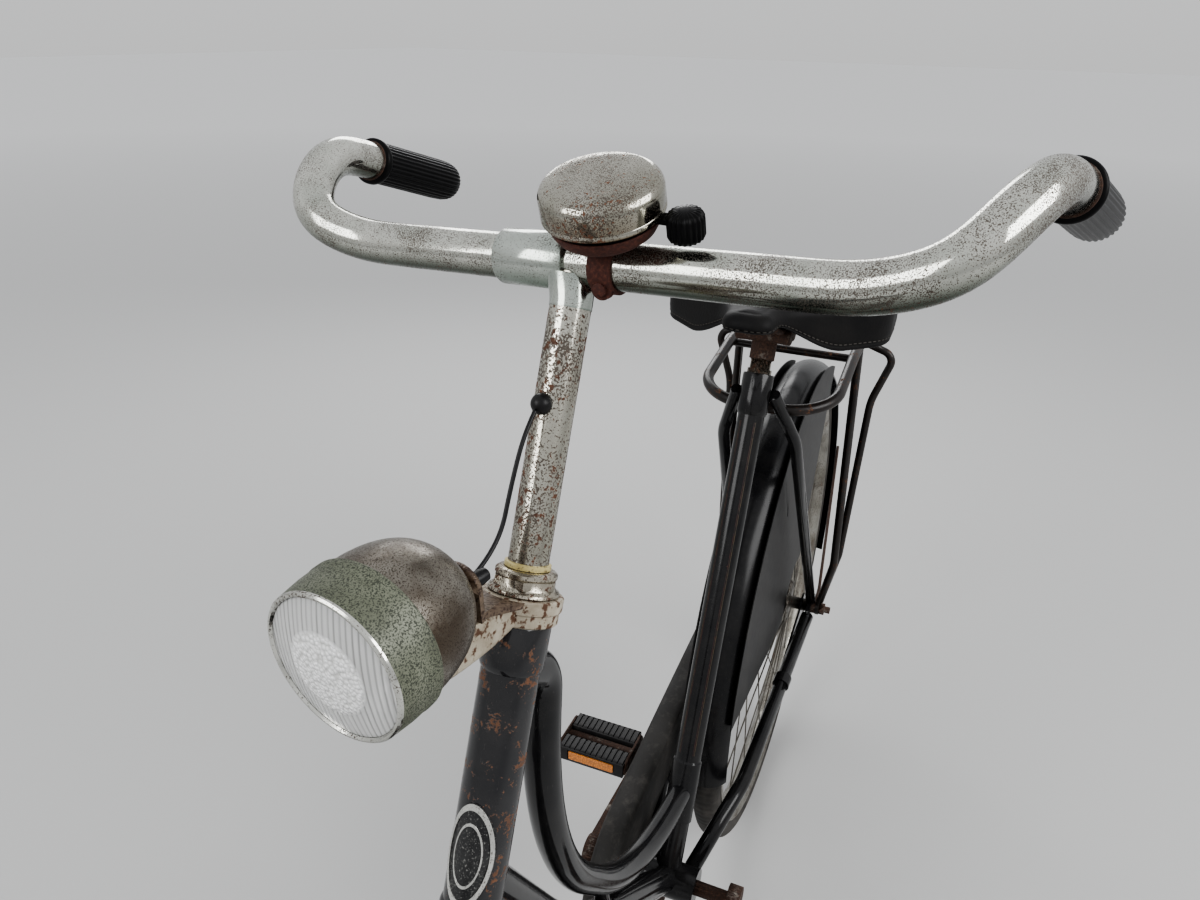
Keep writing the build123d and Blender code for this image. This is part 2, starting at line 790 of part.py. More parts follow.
guard_edge = guard_radius - guard_depth
rear_eye_at = dropout_at + dropout_thickness / 2
rear_stay_angle = 160.0
rear_rods = guard_rods(rear_axle, rear_stay_angle, guard_width / 2 + guard_rod_radius, rear_eye_at, guard_edge + 3)
with BuildPart() as rear_guard_stays:
    for index, side in enumerate((1, -1)):
        add(rear_rods[index])
        with BuildSketch(side_plane(side * rear_eye_at, rear_axle)):
            Circle(9)
        extrude(amount=-side * eye_thickness)
    with BuildSketch(side_plane(2 * dropout_at, rear_axle)):
        Circle(axle_radius + running_gap)
    extrude(amount=4 * dropout_at, mode=Mode.SUBTRACT)
pieces["rear_mudguard_stays"] = rear_guard_stays

front_stay_angle = 195.0
front_rods = guard_rods(
    front_axle, front_stay_angle, guard_width / 2 + guard_rod_radius, fork_end_outside, guard_edge + 3
)
with BuildPart() as front_guard_stays:
    for index, side in enumerate((1, -1)):
        add(front_rods[index])
        with BuildSketch(side_plane(side * fork_end_outside, front_axle)):
            Circle(9)
        extrude(amount=-side * eye_thickness)
    with BuildSketch(side_plane(2 * dropout_at, front_axle)):
        Circle(axle_radius + running_gap)
    extrude(amount=4 * dropout_at, mode=Mode.SUBTRACT)
steered["front_mudguard_stays"] = front_guard_stays

# Cranks on their spindle with the pedal spindles, the right pedal at the back
pedal_spindle_radius = 5.0
pedal_length = 96.0
pedal_gap = 6.0
plate_wall = 3.0
crank_length = 170.0
crank_turn = 4.0
crank_thickness = 14.0
right_crank_at = 82.0
left_crank_at = 70.0
crank_eye = 14.0
back = Vector(-cos(radians(crank_turn)), 0, -sin(radians(crank_turn)))
pedal_places = {-1: bracket + back * crank_length, 1: bracket - back * crank_length}
with BuildPart() as cranks:
    with BuildSketch(side_plane(left_crank_at + crank_thickness, bracket)):
        Circle(spindle_radius)
    extrude(amount=left_crank_at + right_crank_at + 2 * crank_thickness)
    for side, inner in ((1, left_crank_at), (-1, right_crank_at)):
        arm = pedal_places[side] - bracket
        with BuildSketch(side_plane(side * inner, bracket)):
            Circle(crank_eye + 3)
            with Locations((arm.X, arm.Z)):
                Circle(crank_eye)
            with BuildLine(mode=Mode.ADD):
                Polyline((arm.X, arm.Z + 10), (0, 12), (0, -12), (arm.X, arm.Z - 10), close=True)
            make_face()
        extrude(amount=-side * crank_thickness)
        with BuildSketch(side_plane(side * (inner + crank_thickness / 2), pedal_places[side])):
            Circle(pedal_spindle_radius)
        extrude(amount=-side * (crank_thickness / 2 + pedal_gap + pedal_length - plate_wall))
pieces["cranks"] = cranks

# Pedals: a sleeve on the spindle with two rubber blocks between end plates
pedal_block_width = 27.0
pedal_block_height = 24.0
pedal_block_apart = 43.0
pedal_nodes = {}
for side, inner, word in ((1, left_crank_at, "left"), (-1, right_crank_at, "right")):
    place = pedal_places[side]
    near = inner + crank_thickness + pedal_gap
    with BuildPart() as body:
        with BuildSketch(side_plane(side * near, place)):
            Circle(pedal_spindle_radius + 3)
        extrude(amount=-side * pedal_length)
        for plate_from in (near, near + pedal_length - plate_wall):
            with BuildSketch(side_plane(side * plate_from, place)):
                SlotOverall(pedal_block_apart + pedal_block_height, pedal_block_height)
            extrude(amount=-side * plate_wall)
        with BuildSketch(side_plane(side * (near - 1), place)):
            Circle(pedal_spindle_radius + running_gap)
        extrude(amount=-side * (pedal_length - plate_wall + 1 + running_gap), mode=Mode.SUBTRACT)
    pedal_nodes[f"pedal_{word}"] = body
    with BuildPart() as blocks:
        for along in (1, -1):
            with BuildSketch(side_plane(side * (near + plate_wall), place)):
                with Locations((along * pedal_block_apart / 2, 0)):
                    RectangleRounded(pedal_block_width, pedal_block_height, 4)
            extrude(amount=-side * (pedal_length - 2 * plate_wall))
    pedal_nodes[f"pedal_blocks_{word}"] = blocks
pieces.update(pedal_nodes)

# Chain case round the chain on the right side
case_inner = 37.0
case_outer = 73.0
case_front_radius = 104.0
case_rear_radius = 66.0
case_rear_outer = 54.0
case_step_at = 150.0
case_axle_hole = 36.0
right_chainstay_clear = rod(stay_paths[-1], chainstay_radius + fit_gap, 160)
right_seatstay_clear = rod(seatstay_paths[-1], stay_radius + fit_gap, 120)
with BuildPart() as chain_case:
    with BuildSketch(side_plane(-case_inner)):
        with BuildLine():
            front = CenterArc((bracket.X, bracket.Z), case_front_radius, -97, 190)
            rear = CenterArc((rear_axle.X, rear_axle.Z), case_rear_radius, 93, 170)
            Line(front @ 1, rear @ 0)
            Line(rear @ 1, front @ 0)
        make_face()
    extrude(amount=case_outer - case_inner)
    with BuildSketch(side_plane(-case_rear_outer)):
        with Locations((rear_axle.X + case_step_at, rear_axle.Z)):
            Rectangle(chainstay_length, 4 * case_front_radius, align=(Align.MAX, Align.CENTER))
    extrude(amount=case_outer, mode=Mode.SUBTRACT)
    with BuildSketch(side_plane(-case_inner, bracket)):
        Circle(shell_radius + fit_gap)
    extrude(amount=case_outer, mode=Mode.SUBTRACT)
    with BuildSketch(side_plane(-case_inner, rear_axle)):
        Circle(case_axle_hole)
    extrude(amount=case_outer, mode=Mode.SUBTRACT)
    add(right_chainstay_clear, mode=Mode.SUBTRACT)
    add(right_seatstay_clear, mode=Mode.SUBTRACT)
pieces["chain_case"] = chain_case

# Seat post, saddle frame and saddle
post_out = 35.0
post_inside = 110.0
post_neck = 30.0
post_neck_radius = 11.0
saddle_base = bracket + seat_up * (seat_tube_length + post_out)
with BuildPart() as seat_post:
    with BuildSketch(seat_plane(seat_tube_length - post_inside)):
        Circle(post_radius)
    extrude(amount=post_inside + post_out - post_neck)
    with BuildSketch(seat_plane(seat_tube_length + post_out - post_neck)):
        Circle(post_neck_radius)
    extrude(amount=post_neck)
pieces["seat_post"] = seat_post

saddle_half = 124.0
saddle_height = 48.0
saddle_edge = 9.0
cover_wall = 9.0
cover_top = 12.0
nose_half = 26.0
nose_lift = 36.0
saddle_level = saddle_base.Z + 10
saddle_nose_x = saddle_base.X + 103
saddle_tail_x = saddle_base.X - 152
nose_root_x = saddle_base.X + 55
wing_x = saddle_base.X - 70
cover_ceiling = saddle_level + saddle_height - cover_top
clamp_width = 60.0
clamp_length = 34.0
clamp_height = 20.0
rail_across = 20.0
rail_radius = 3.5
coil_radius = 14.0
coil_across = 34.0
rail_z = saddle_base.Z + 18
rail_tip_z = cover_ceiling - rail_radius - fit_gap
coil_x = saddle_tail_x + 32
with BuildPart() as saddle_frame:
    with BuildSketch(Plane.XZ.offset(-clamp_width / 2)):
        with Locations((saddle_base.X, saddle_base.Z + 11)):
            RectangleRounded(clamp_length, clamp_height, 4)
    extrude(amount=clamp_width)
    with BuildSketch(seat_plane(0)):
        Circle(post_neck_radius + running_gap)
    extrude(amount=seat_tube_length + post_out, mode=Mode.SUBTRACT)
    for side in (1, -1):
        rail_points = [
            Vector(coil_x, side * rail_across, rail_z),
            Vector(nose_root_x - 30, side * rail_across, rail_z),
            Vector(nose_root_x + 2, side * 9, rail_tip_z),
            Vector(saddle_nose_x - 22, side * 8, rail_tip_z),
        ]
        add(rod(rail_points, rail_radius, bend_radii(rail_points, [0.4, 0.4])))
        with BuildSketch(Plane.XY.offset(rail_z)):
            with Locations((coil_x, side * coil_across)):
                Circle(coil_radius)
        extrude(amount=cover_ceiling - rail_z - fit_gap)
pieces["saddle_frame"] = saddle_frame

# Corners of the cover seen from above: place along the frame, half width there, corner radius
cover_corners = [
    (saddle_nose_x, nose_half, 18),
    (nose_root_x + 2, nose_half + 2, 60),
    (wing_x + 36, saddle_half, 45),
    (wing_x - 48, saddle_half, 40),
    (saddle_tail_x - 6, saddle_half - 64, 60),
]
with BuildPart() as saddle:
    with BuildSketch(Plane.XY.offset(saddle_level)) as cover_outline:
        with BuildLine():
            right_side = [(x, -half) for x, half, corner in cover_corners]
            left_side = [(x, half) for x, half, corner in cover_corners[::-1]]
            Polyline(*right_side, *left_side, close=True)
        make_face()
        for x, half, corner in cover_corners:
            pair = cover_outline.vertices().filter_by(lambda v: abs(v.X - x) < 1 and abs(abs(v.Y) - half) < 1)
            fillet(pair, corner)
    extrude(amount=saddle_height)
    fillet(saddle.edges().group_by(Axis.Z)[-1], saddle_edge)
    with BuildSketch(Plane.XY.offset(saddle_level)):
        add(cover_outline.sketch_local)
        offset(amount=-cover_wall, mode=Mode.REPLACE)
    extrude(amount=saddle_height - cover_top, mode=Mode.SUBTRACT)
    with BuildSketch(Plane.XZ.offset(-saddle_half)):
        with BuildLine():
            Polyline(
                (nose_root_x - 18, saddle_level),
                (nose_root_x + 10, saddle_level + nose_lift),
                (saddle_nose_x + 1, saddle_level + nose_lift),
                (saddle_nose_x + 1, saddle_level - 1),
                (nose_root_x - 18, saddle_level - 1),
                close=True,
            )
        make_face()
    extrude(amount=2 * saddle_half, mode=Mode.SUBTRACT)
pieces["saddle"] = saddle

# Rear carrier: a tubular loop that rises behind the seat tube, with legs to the axle
deck_radius = 6.5
cross_bar_radius = 5.0
deck_half = 77.0
deck_height = tyre_radius + guard_radius + 56.0
deck_front_drop = 18.0
deck_front_z = deck_height - deck_front_drop
deck_front_x = bracket.X + (deck_front_z - bracket.Z) * seat_up.X / seat_up.Z - 52
deck_knee_x = deck_front_x - 150
deck_length = 380.0
deck_back_x = deck_front_x - deck_length
tongue_half = 8.0
tongue_thickness = 4.0
leg_radius = 5.5
leg_knee_across = 84.0
outer_leg_radius = 5.0
outer_leg_across = 119.0
outer_leg_x = rear_axle.X - 12
leg_eye_at = rear_eye_at + eye_thickness
deck_points = [
    Vector(deck_back_x, deck_half, deck_height),
    Vector(deck_knee_x, deck_half, deck_height + 6),
    Vector(deck_front_x, deck_half, deck_front_z),
    Vector(deck_front_x, -deck_half, deck_front_z),
    Vector(deck_knee_x, -deck_half, deck_height + 6),
    Vector(deck_back_x, -deck_half, deck_height),
]
deck_rod = rod(deck_points, deck_radius, [200, 58, 58, 200])
cross_bars = [
    rod([Vector(x, -deck_half, deck_height + 1), Vector(x, deck_half, deck_height + 1)], cross_bar_radius, None)
    for x in (deck_back_x + 12, deck_back_x + 120, deck_back_x + 228)
]
leg_rods = []
for side in (1, -1):
    foot = across_by(rear_axle, side * (leg_eye_at + eye_thickness / 2))
    top = Vector(deck_front_x - 196, side * deck_half, deck_height)
    knee = across_by(between(rear_axle, top, 0.2), side * leg_knee_across)
    leg_rods.append(rod([foot, knee, top], leg_radius, 60))
    outer_points = [
        foot,
        Vector(rear_axle.X - 6, side * (leg_knee_across + 4), rear_axle.Z + 95),
        Vector(outer_leg_x, side * (outer_leg_across - 22), deck_height - 85),
        Vector(outer_leg_x, side * outer_leg_across, deck_height - 18),
        Vector(outer_leg_x, side * deck_half, deck_height - 4),
    ]
    leg_rods.append(rod(outer_points, outer_leg_radius, [50, 90, 15]))
with BuildPart() as carrier:
    add(deck_rod)
    for bar in cross_bars:
        add(bar)
    with BuildSketch(Plane.XY.offset(deck_front_z - tongue_thickness / 2)):
        with Locations((deck_front_x, 0)):
            Rectangle(60, 2 * tongue_half, align=(Align.MIN, Align.CENTER))
    extrude(amount=tongue_thickness)
    with BuildSketch(seat_plane(0)):
        Circle(frame_tube_radius + fit_gap)
        with Locations((0, -60)):
            Rectangle(200, 120)
    extrude(amount=seat_tube_length - seat_lug_length - fit_gap, mode=Mode.SUBTRACT)
    for leg in leg_rods:
        add(leg)
    for side in (1, -1):
        with BuildSketch(side_plane(side * (leg_eye_at - 20), rear_axle)):
            Circle(14)
        extrude(amount=-side * 20, mode=Mode.SUBTRACT)
        with BuildSketch(side_plane(side * (leg_eye_at + eye_thickness), rear_axle)):
            Circle(14)
        extrude(amount=-side * 20, mode=Mode.SUBTRACT)
        with BuildSketch(side_plane(side * leg_eye_at, rear_axle)):
            Circle(10)
        extrude(amount=-side * eye_thickness)
    with BuildSketch(side_plane(2 * dropout_at, rear_axle)):
        Circle(axle_radius + running_gap)
    extrude(amount=4 * dropout_at, mode=Mode.SUBTRACT)
pieces["rear_carrier"] = carrier

# Rear lamp on the mudguard
lamp_angle = 158.0
with BuildPart() as rear_lamp:
    with BuildSketch(Plane.YZ.offset(guard_radius + guard_wall + fit_gap)):
        RectangleRounded(34, 46, 8)
    extrude(amount=24)
rear_lamp_solid = Pos(*rear_axle) * rear_lamp.part.rotate(Axis.Y, -lamp_angle)
finished["rear_lamp"] = rear_lamp_solid

# Skirt guards: a thin sheet on each side of the rear wheel, with a leaf-shaped opening
skirt_thickness = 1.4
skirt_at = guard_width / 2 + 0.6
skirt_outer = guard_radius - 4
skirt_inner = 70.0
skirt_from = 24.0
skirt_to = 112.0
leaf_from = 256.0
leaf_to = 344.0
leaf_half = 10.0
leaf_angle = 58.0
leaf_out = Vector(cos(radians(leaf_angle)), sin(radians(leaf_angle)))
leaf_across = Vector(-leaf_out.Y, leaf_out.X) * leaf_half
leaf_middle = leaf_out * (leaf_from + leaf_to) / 2
with BuildPart() as skirt_guards:
    for side in (1, -1):
        with BuildSketch(side_plane(side * skirt_at, rear_axle)):
            with BuildLine():
                rim_arc = CenterArc((0, 0), skirt_outer, skirt_from, skirt_to - skirt_from)
                hub_arc = CenterArc((0, 0), skirt_inner, skirt_from, skirt_to - skirt_from)
                Line(rim_arc @ 0, hub_arc @ 0)
                Line(rim_arc @ 1, hub_arc @ 1)
            make_face()
            with BuildLine():
                ThreePointArc(leaf_out * leaf_from, leaf_middle + leaf_across, leaf_out * leaf_to)
                ThreePointArc(leaf_out * leaf_to, leaf_middle - leaf_across, leaf_out * leaf_from)
            make_face(mode=Mode.SUBTRACT)
        extrude(amount=-side * skirt_thickness)
pieces["skirt_guards"] = skirt_guards

# Head badge, a blank oval plate on the head tube
badge_height = 58.0
badge_width = 27.0
badge_at = head_tube_at + lug_length + 2 + badge_height / 2
with BuildPart() as head_badge:
    with BuildSketch(Plane(origin=on_steering(badge_at), x_dir=(0, 1, 0), z_dir=head_forward)):
        Ellipse(badge_width / 2, badge_height / 2)
    extrude(amount=40)
    with BuildSketch(steering_plane(badge_at - badge_height)):
        Circle(head_tube_radius + 1.2)
        Circle(head_tube_radius + running_gap, mode=Mode.SUBTRACT)
    extrude(amount=2 * badge_height, mode=Mode.INTERSECT)
pieces["head_badge"] = head_badge

# Brake arm of the back-pedal brake, clipped round the left chain stay
arm_at = rear_flange_at + 18
arm_length = 150.0
arm_thickness = 3.0
clip_wall = 2.2
clip_share = arm_length / (stay_paths[1][1] - rear_axle).length
clip_middle = between(stay_paths[1][2], stay_paths[1][1], clip_share)
clip_along = (stay_paths[1][1] - stay_paths[1][2]).normalized()
arm_end = clip_middle - rear_axle + Vector(0, 0, -chainstay_radius - 6)
arm_angle = degrees(atan2(arm_end.Z, arm_end.X))
clip_rod = rod([clip_middle - clip_along * 8, clip_middle + clip_along * 8], chainstay_radius + clip_wall, None)
left_stay_clear = rod(stay_paths[1], chainstay_radius + running_gap, 160)
with BuildPart() as brake_arm:
    with BuildSketch(side_plane(arm_at + arm_thickness, rear_axle)):
        Circle(17)
        with Locations(Rotation(0, 0, arm_angle) * Pos(arm_length / 2, 0)):
            Rectangle(arm_length, 15)
        Circle(9 + fit_gap, mode=Mode.SUBTRACT)
    extrude(amount=arm_thickness)
    add(clip_rod)
    add(left_stay_clear, mode=Mode.SUBTRACT)
pieces["brake_arm"] = brake_arm

# Two-legged centre stand behind the bottom bracket
stand_pivot = bracket + Vector(-38, 0, -30)
stand_pin_radius = 5.0
stand_leg_radius = 6.5
stand_leg_top = 13.0
stand_knee_down = 125.0
stand_knee_across = 23.0
stand_foot_across = 125.0
stand_foot_back = 30.0
stand_barrel_radius = 10.0
stand_half = 20.0
ear_thickness = 4.0
leg_parts = []
for side in (1, -1):
    top = across_by(stand_pivot, side * stand_leg_top)
    knee = across_by(stand_pivot + Vector(-10, 0, -stand_knee_down), side * stand_knee_across)
    foot = Vector(stand_pivot.X - stand_foot_back, side * stand_foot_across, stand_leg_radius)
    leg_parts.append(rod([top, knee, foot], stand_leg_radius, 60))
with BuildPart() as stand:
    for leg in leg_parts:
        add(leg)
    with BuildSketch(side_plane(stand_half, stand_pivot)):
        Circle(stand_barrel_radius)
    extrude(amount=2 * stand_half)
    for side in (1, -1):
        with BuildSketch(Plane.XY):
            with Locations((stand_pivot.X - stand_foot_back, side * stand_foot_across)):
                SlotOverall(44, 16)
        extrude(amount=stand_leg_radius)
    with BuildSketch(side_plane(stand_half + 1, stand_pivot)):
        Circle(stand_pin_radius + running_gap)
    extrude(amount=2 * stand_half + 2, mode=Mode.SUBTRACT)
pieces["stand"] = stand

with BuildPart() as stand_bracket:
    for side in (1, -1):
        near = stand_half + 0.5 if side > 0 else -stand_half - 0.5
        with BuildSketch(side_plane(near, stand_pivot)):
            with BuildLine():
                Polyline((-10, 0), (-8, 24), (34, 24), (14, -10), (0, -10), close=True)
            make_face()
            Circle(stand_barrel_radius)
        extrude(amount=-side * ear_thickness)
    with BuildSketch(side_plane(stand_half + 0.5 + ear_thickness, stand_pivot)):
        Circle(stand_pin_radius)
    extrude(amount=2 * stand_half + 1 + 2 * ear_thickness)
    with BuildSketch(side_plane(shell_width, bracket)):
        Circle(shell_radius + fit_gap)
    extrude(amount=2 * shell_width, mode=Mode.SUBTRACT)
    add(left_stay_clear, mode=Mode.SUBTRACT)
    add(right_chainstay_clear, mode=Mode.SUBTRACT)
pieces["stand_bracket"] = stand_bracket

# Lamp wire from the grommet on the stem down to the back of the lamp
grommet_at = stem_ring_at + 87
grommet_radius = 5.7
wire_radius = 1.2
grommet_middle = on_steering(grommet_at, forward=stem_radius + 1.5)
with BuildPart() as grommet:
    with Locations(grommet_middle):
        Sphere(grommet_radius)
    with BuildSketch(steering_plane(grommet_at - 20)):
        Circle(stem_radius + running_gap)
    extrude(amount=40, mode=Mode.SUBTRACT)
steered["wire_grommet"] = grommet

wire_end = Vector(tab_x - sleeve_length - fit_gap, 0, lamp_middle.Z)
wire_start = grommet_middle + Vector(grommet_radius + fit_gap, 0, -2)
wire_points = [
    wire_start,
    wire_start + Vector(10, 0, -8),
    between(wire_start, wire_end, 0.45) + Vector(-4, 0, 0),
    wire_end + Vector(-22, 0, 5),
    wire_end,
]
wire_bends = bend_radii(wire_points, [0.45, 0.45, 0.45])
print("lamp wire radii", [round(bend, 1) for bend in wire_bends])
lamp_wire = rod(wire_points, wire_radius, wire_bends)
turned["lamp_wire"] = lamp_wire

for name, piece in pieces.items():
    finished[name] = piece.part
for name, piece in steered.items():
    turned[name] = piece.part
for name, solid in turned.items():
    finished[name] = solid.rotate(steering_axis, steering_turn)

os.makedirs("parts", exist_ok=True)
for name, solid in finished.items():
    print(name, solid.is_valid, len(solid.solids()), round(solid.volume))
    solid.label = name
    export_step(solid, f"parts/{name}.step")
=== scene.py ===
"""Looks of an old step-through roadster bicycle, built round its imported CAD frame.

Lengths are millimetres until a mesh is made, as in the part's source; +X is forwards and +Y the
rider's left. Every new surface is worked out with numpy as whole arrays. Nodes whose own shape is
right are shown by smooth copies of their meshes.
"""
import json
from math import cos, pi, radians, sin, sqrt

import bmesh
import bpy
import numpy as np
from mathutils import Matrix

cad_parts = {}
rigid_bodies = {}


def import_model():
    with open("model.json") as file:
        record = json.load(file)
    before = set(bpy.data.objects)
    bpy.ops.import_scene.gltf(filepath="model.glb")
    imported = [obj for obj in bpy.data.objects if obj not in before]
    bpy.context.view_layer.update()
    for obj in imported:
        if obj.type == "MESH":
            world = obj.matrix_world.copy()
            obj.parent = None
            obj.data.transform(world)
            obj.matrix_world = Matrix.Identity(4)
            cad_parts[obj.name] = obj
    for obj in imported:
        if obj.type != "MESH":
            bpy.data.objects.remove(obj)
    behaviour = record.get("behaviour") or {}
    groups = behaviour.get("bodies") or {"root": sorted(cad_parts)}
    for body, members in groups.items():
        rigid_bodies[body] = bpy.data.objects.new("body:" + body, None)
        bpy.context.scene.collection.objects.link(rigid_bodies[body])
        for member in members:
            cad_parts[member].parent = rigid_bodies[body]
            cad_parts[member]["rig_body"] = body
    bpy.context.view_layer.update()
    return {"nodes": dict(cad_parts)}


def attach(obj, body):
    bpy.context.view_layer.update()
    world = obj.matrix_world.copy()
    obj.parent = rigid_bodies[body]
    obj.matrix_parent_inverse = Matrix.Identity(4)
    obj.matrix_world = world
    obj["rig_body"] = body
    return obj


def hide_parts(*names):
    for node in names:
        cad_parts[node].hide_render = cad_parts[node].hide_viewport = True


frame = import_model()
MM = 0.001

# Driving sizes, the same as the part's

wheelbase = 1108.0
tyre_radius = 355.0
chainstay_length = 489.0
bottom_bracket_drop = 70.0
seat_tube_angle = radians(67.0)
head_angle = radians(67.5)
fork_offset = 78.0
axle_to_crown = 385.0
steering_turn = radians(-8.5)
tyre_width = 38.0
tyre_seat_radius = 319.0
rim_width = 34.0
guard_radius = tyre_radius + 9.0
guard_width = 56.0
guard_depth = 17.0
guard_wall = 1.2
frame_tube_radius = 14.3
swan_tube_radius = 12.0
head_tube_radius = 16.0
head_tube_length = 182.5
lug_length = 26.0
seat_tube_length = 566.0
stem_radius = 11.1
stem_rise = 162.0
bar_radius = 12.4
grip_radius = 14.2
grip_length = 96.0
cup_height = 12.0
race_height = 3.0
plate_thickness = 3.0
lock_nut_height = 14.0


def vec(x, y, z):
    return np.array([x, y, z], float)


def unit(v):
    return v / np.linalg.norm(v)


SIDE = vec(0, 1, 0)
UP = vec(0, 0, 1)
rear_axle = vec(-wheelbase / 2, 0, tyre_radius)
front_axle = vec(wheelbase / 2, 0, tyre_radius)
bracket = vec(rear_axle[0] + sqrt(chainstay_length**2 - bottom_bracket_drop**2), 0,
              tyre_radius - bottom_bracket_drop)
seat_up = vec(-cos(seat_tube_angle), 0, sin(seat_tube_angle))
head_up = vec(-cos(head_angle), 0, sin(head_angle))
head_forward = vec(sin(head_angle), 0, cos(head_angle))
steer_foot = front_axle - head_forward * fork_offset
crown_at = sqrt(axle_to_crown**2 - fork_offset**2)
head_tube_at = crown_at + cup_height
upper_cup_at = head_tube_at + head_tube_length
plate_at = upper_cup_at + cup_height
lock_nut_at = plate_at + plate_thickness
stem_ring_at = lock_nut_at + lock_nut_height
bar_at = stem_ring_at + stem_rise


def on_steering(distance, forward=0.0, across=0.0):
    """A place on or beside the steering axis, counted along it from its foot."""
    return steer_foot + head_up * distance + head_forward * forward + vec(0, across, 0)


bar_centre = on_steering(bar_at)


def steer(points):
    """Points turned about the steering axis by the angle at which the wheel rests."""
    p = points - steer_foot
    along = (p @ head_up)[..., None] * head_up
    flat = p - along
    return steer_foot + along + flat * cos(steering_turn) + np.cross(head_up, flat) * sin(steering_turn)


# Lines: routes, curves and outlines

def between(first, second, share):
    return first + (second - first) * share


def run_lengths(line):
    """How far along a polyline each of its points lies."""
    return np.concatenate([[0], np.cumsum(np.linalg.norm(np.diff(line, axis=0), axis=1))])


def at_lengths(line, places):
    """The points of a polyline at the given distances along it."""
    lengths = run_lengths(line)
    return np.stack([np.interp(places, lengths, line[:, axis]) for axis in range(3)], axis=-1)


def bend_radii(points, shares):
    """For each inner corner, the arc that uses the given share of the shorter run beside it."""
    radii = []
    for index, share in enumerate(shares, 1):
        before, after = points[index] - points[index - 1], points[index + 1] - points[index]
        half_turn = np.arccos(unit(before) @ unit(after)) / 2
        radii.append(share * min(np.linalg.norm(before), np.linalg.norm(after)) / np.tan(half_turn))
    return radii


def rounded(points, radii, step=radians(5)):
    """A polyline with an arc of the given radius at each inner corner, as points along it."""
    route = [points[0][None]]
    for index, radius in enumerate(radii, 1):
        corner = points[index]
        back, ahead = unit(points[index - 1] - corner), unit(points[index + 1] - corner)
        turn = pi - np.arccos(np.clip(back @ ahead, -1, 1))
        reach = radius * np.tan(turn / 2)
        centre = corner + unit(back + ahead) * radius / cos(turn / 2)
        start = unit(corner + back * reach - centre)
        stop = corner + ahead * reach - centre
        side = unit(stop - start * (start @ stop))
        angle = np.linspace(0, turn, max(2, int(turn / step) + 2))[:, None]
        route.append(centre + radius * (start * np.cos(angle) + side * np.sin(angle)))
    route.append(points[-1][None])
    return np.concatenate(route)


def eased(route, reach):
    """The route at an even step, each point the mean of its neighbours within reach, weighted by a
    triangle; both ends are first carried straight on, so they stay where they are."""
    step = 2.0
    total = run_lengths(route)[-1]
    line = at_lengths(route, np.linspace(0, total, int(total / step) + 1))
    count = int(reach / step)
    beyond = np.arange(1, count + 1)[:, None]
    line = np.concatenate([line[0] - beyond[::-1] * (line[1] - line[0]), line,
                           line[-1] + beyond * (line[-1] - line[-2])])
    weights = 1 - np.abs(np.arange(-count, count + 1)) / (count + 1)
    weights /= weights.sum()
    return np.stack([np.convolve(line[:, axis], weights, "valid") for axis in range(3)], axis=-1)


def bezier(p0, p1, p2, p3, count):
    """Points on a cubic curve between p0 and p3."""
    t = np.linspace(0, 1, count)[:, None]
    p0, p1, p2, p3 = (np.asarray(p, float) for p in (p0, p1, p2, p3))
    return (1 - t)**3 * p0 + 3 * (1 - t)**2 * t * p1 + 3 * (1 - t) * t**2 * p2 + t**3 * p3


def arc_profile(middle, radius, start, stop, count):
    """(along, radius) pairs on an arc, for a lathe."""
    angle = np.linspace(radians(start), radians(stop), count)
    return np.stack([middle[0] + radius * np.cos(angle), middle[1] + radius * np.sin(angle)], axis=-1)


def slot(length, width):
    """The outline of a slot: two half circles joined by straight sides."""
    half, radius = (length - width) / 2, width / 2
    right = np.linspace(-pi / 2, pi / 2, 12)
    return np.concatenate([
        np.stack([end * half + radius * np.cos(turn), radius * np.sin(turn)], axis=-1)
        for end, turn in ((1, right), (-1, right + pi))])


def squared(turn, power):
    """A unit circle pressed out to a square: (sign |cos t|^p, sign |sin t|^p)."""
    return [np.sign(wave) * np.abs(wave)**power for wave in (np.cos(turn), np.sin(turn))]


# Shapes: each is (points, faces), with the points in millimetres

def grid(points):
    """Quads between the rows of a grid of points; each row is a ring."""
    rows, cols = points.shape[:2]
    numbers = np.arange(rows * cols).reshape(rows, cols)
    numbers = np.concatenate([numbers, numbers[:, :1]], axis=1)
    corners = [numbers[:-1, :-1], numbers[:-1, 1:], numbers[1:, 1:], numbers[1:, :-1]]
    return points.reshape(-1, 3), np.stack(corners, axis=-1).reshape(-1, 4).tolist()


def capped(points):
    """A stack of rings, closed at both ends by fans to the ring's middle."""
    rows, cols = points.shape[:2]
    verts, faces = grid(points)
    verts = np.concatenate([verts, points[:1].mean(1), points[-1:].mean(1)])
    step = np.arange(cols)
    after = (step + 1) % cols
    middle = np.full(cols, rows * cols)
    top = (rows - 1) * cols
    first = np.stack([middle, after, step], axis=-1)
    last = np.stack([middle + 1, top + step, top + after], axis=-1)
    return verts, faces + first.tolist() + last.tolist()


def looped(points):
    """A ring of rings, closed both ways, such as a tyre."""
    return grid(np.concatenate([points, points[:1]]))


def directions(route):
    """The unit tangent at each point of a route."""
    tangent = np.gradient(route, axis=0)
    return tangent / np.linalg.norm(tangent, axis=1)[:, None]


def tube(route, radius, reference, sides, ripple=None):
    """A round rod carried along a route; radius may change along it, and ripple is added round it."""
    tangent = directions(route)
    across = reference - (tangent @ reference)[:, None] * tangent
    across /= np.linalg.norm(across, axis=1)[:, None]
    other = np.cross(tangent, across)
    angle = np.linspace(0, 2 * pi, sides, endpoint=False)
    size = np.broadcast_to(np.asarray(radius, float), (len(route),))[:, None]
    if ripple is not None:
        size = size + ripple(angle)[None]
    ring = np.cos(angle)[None, :, None] * across[:, None] + np.sin(angle)[None, :, None] * other[:, None]
    return capped(route[:, None] + size[..., None] * ring)


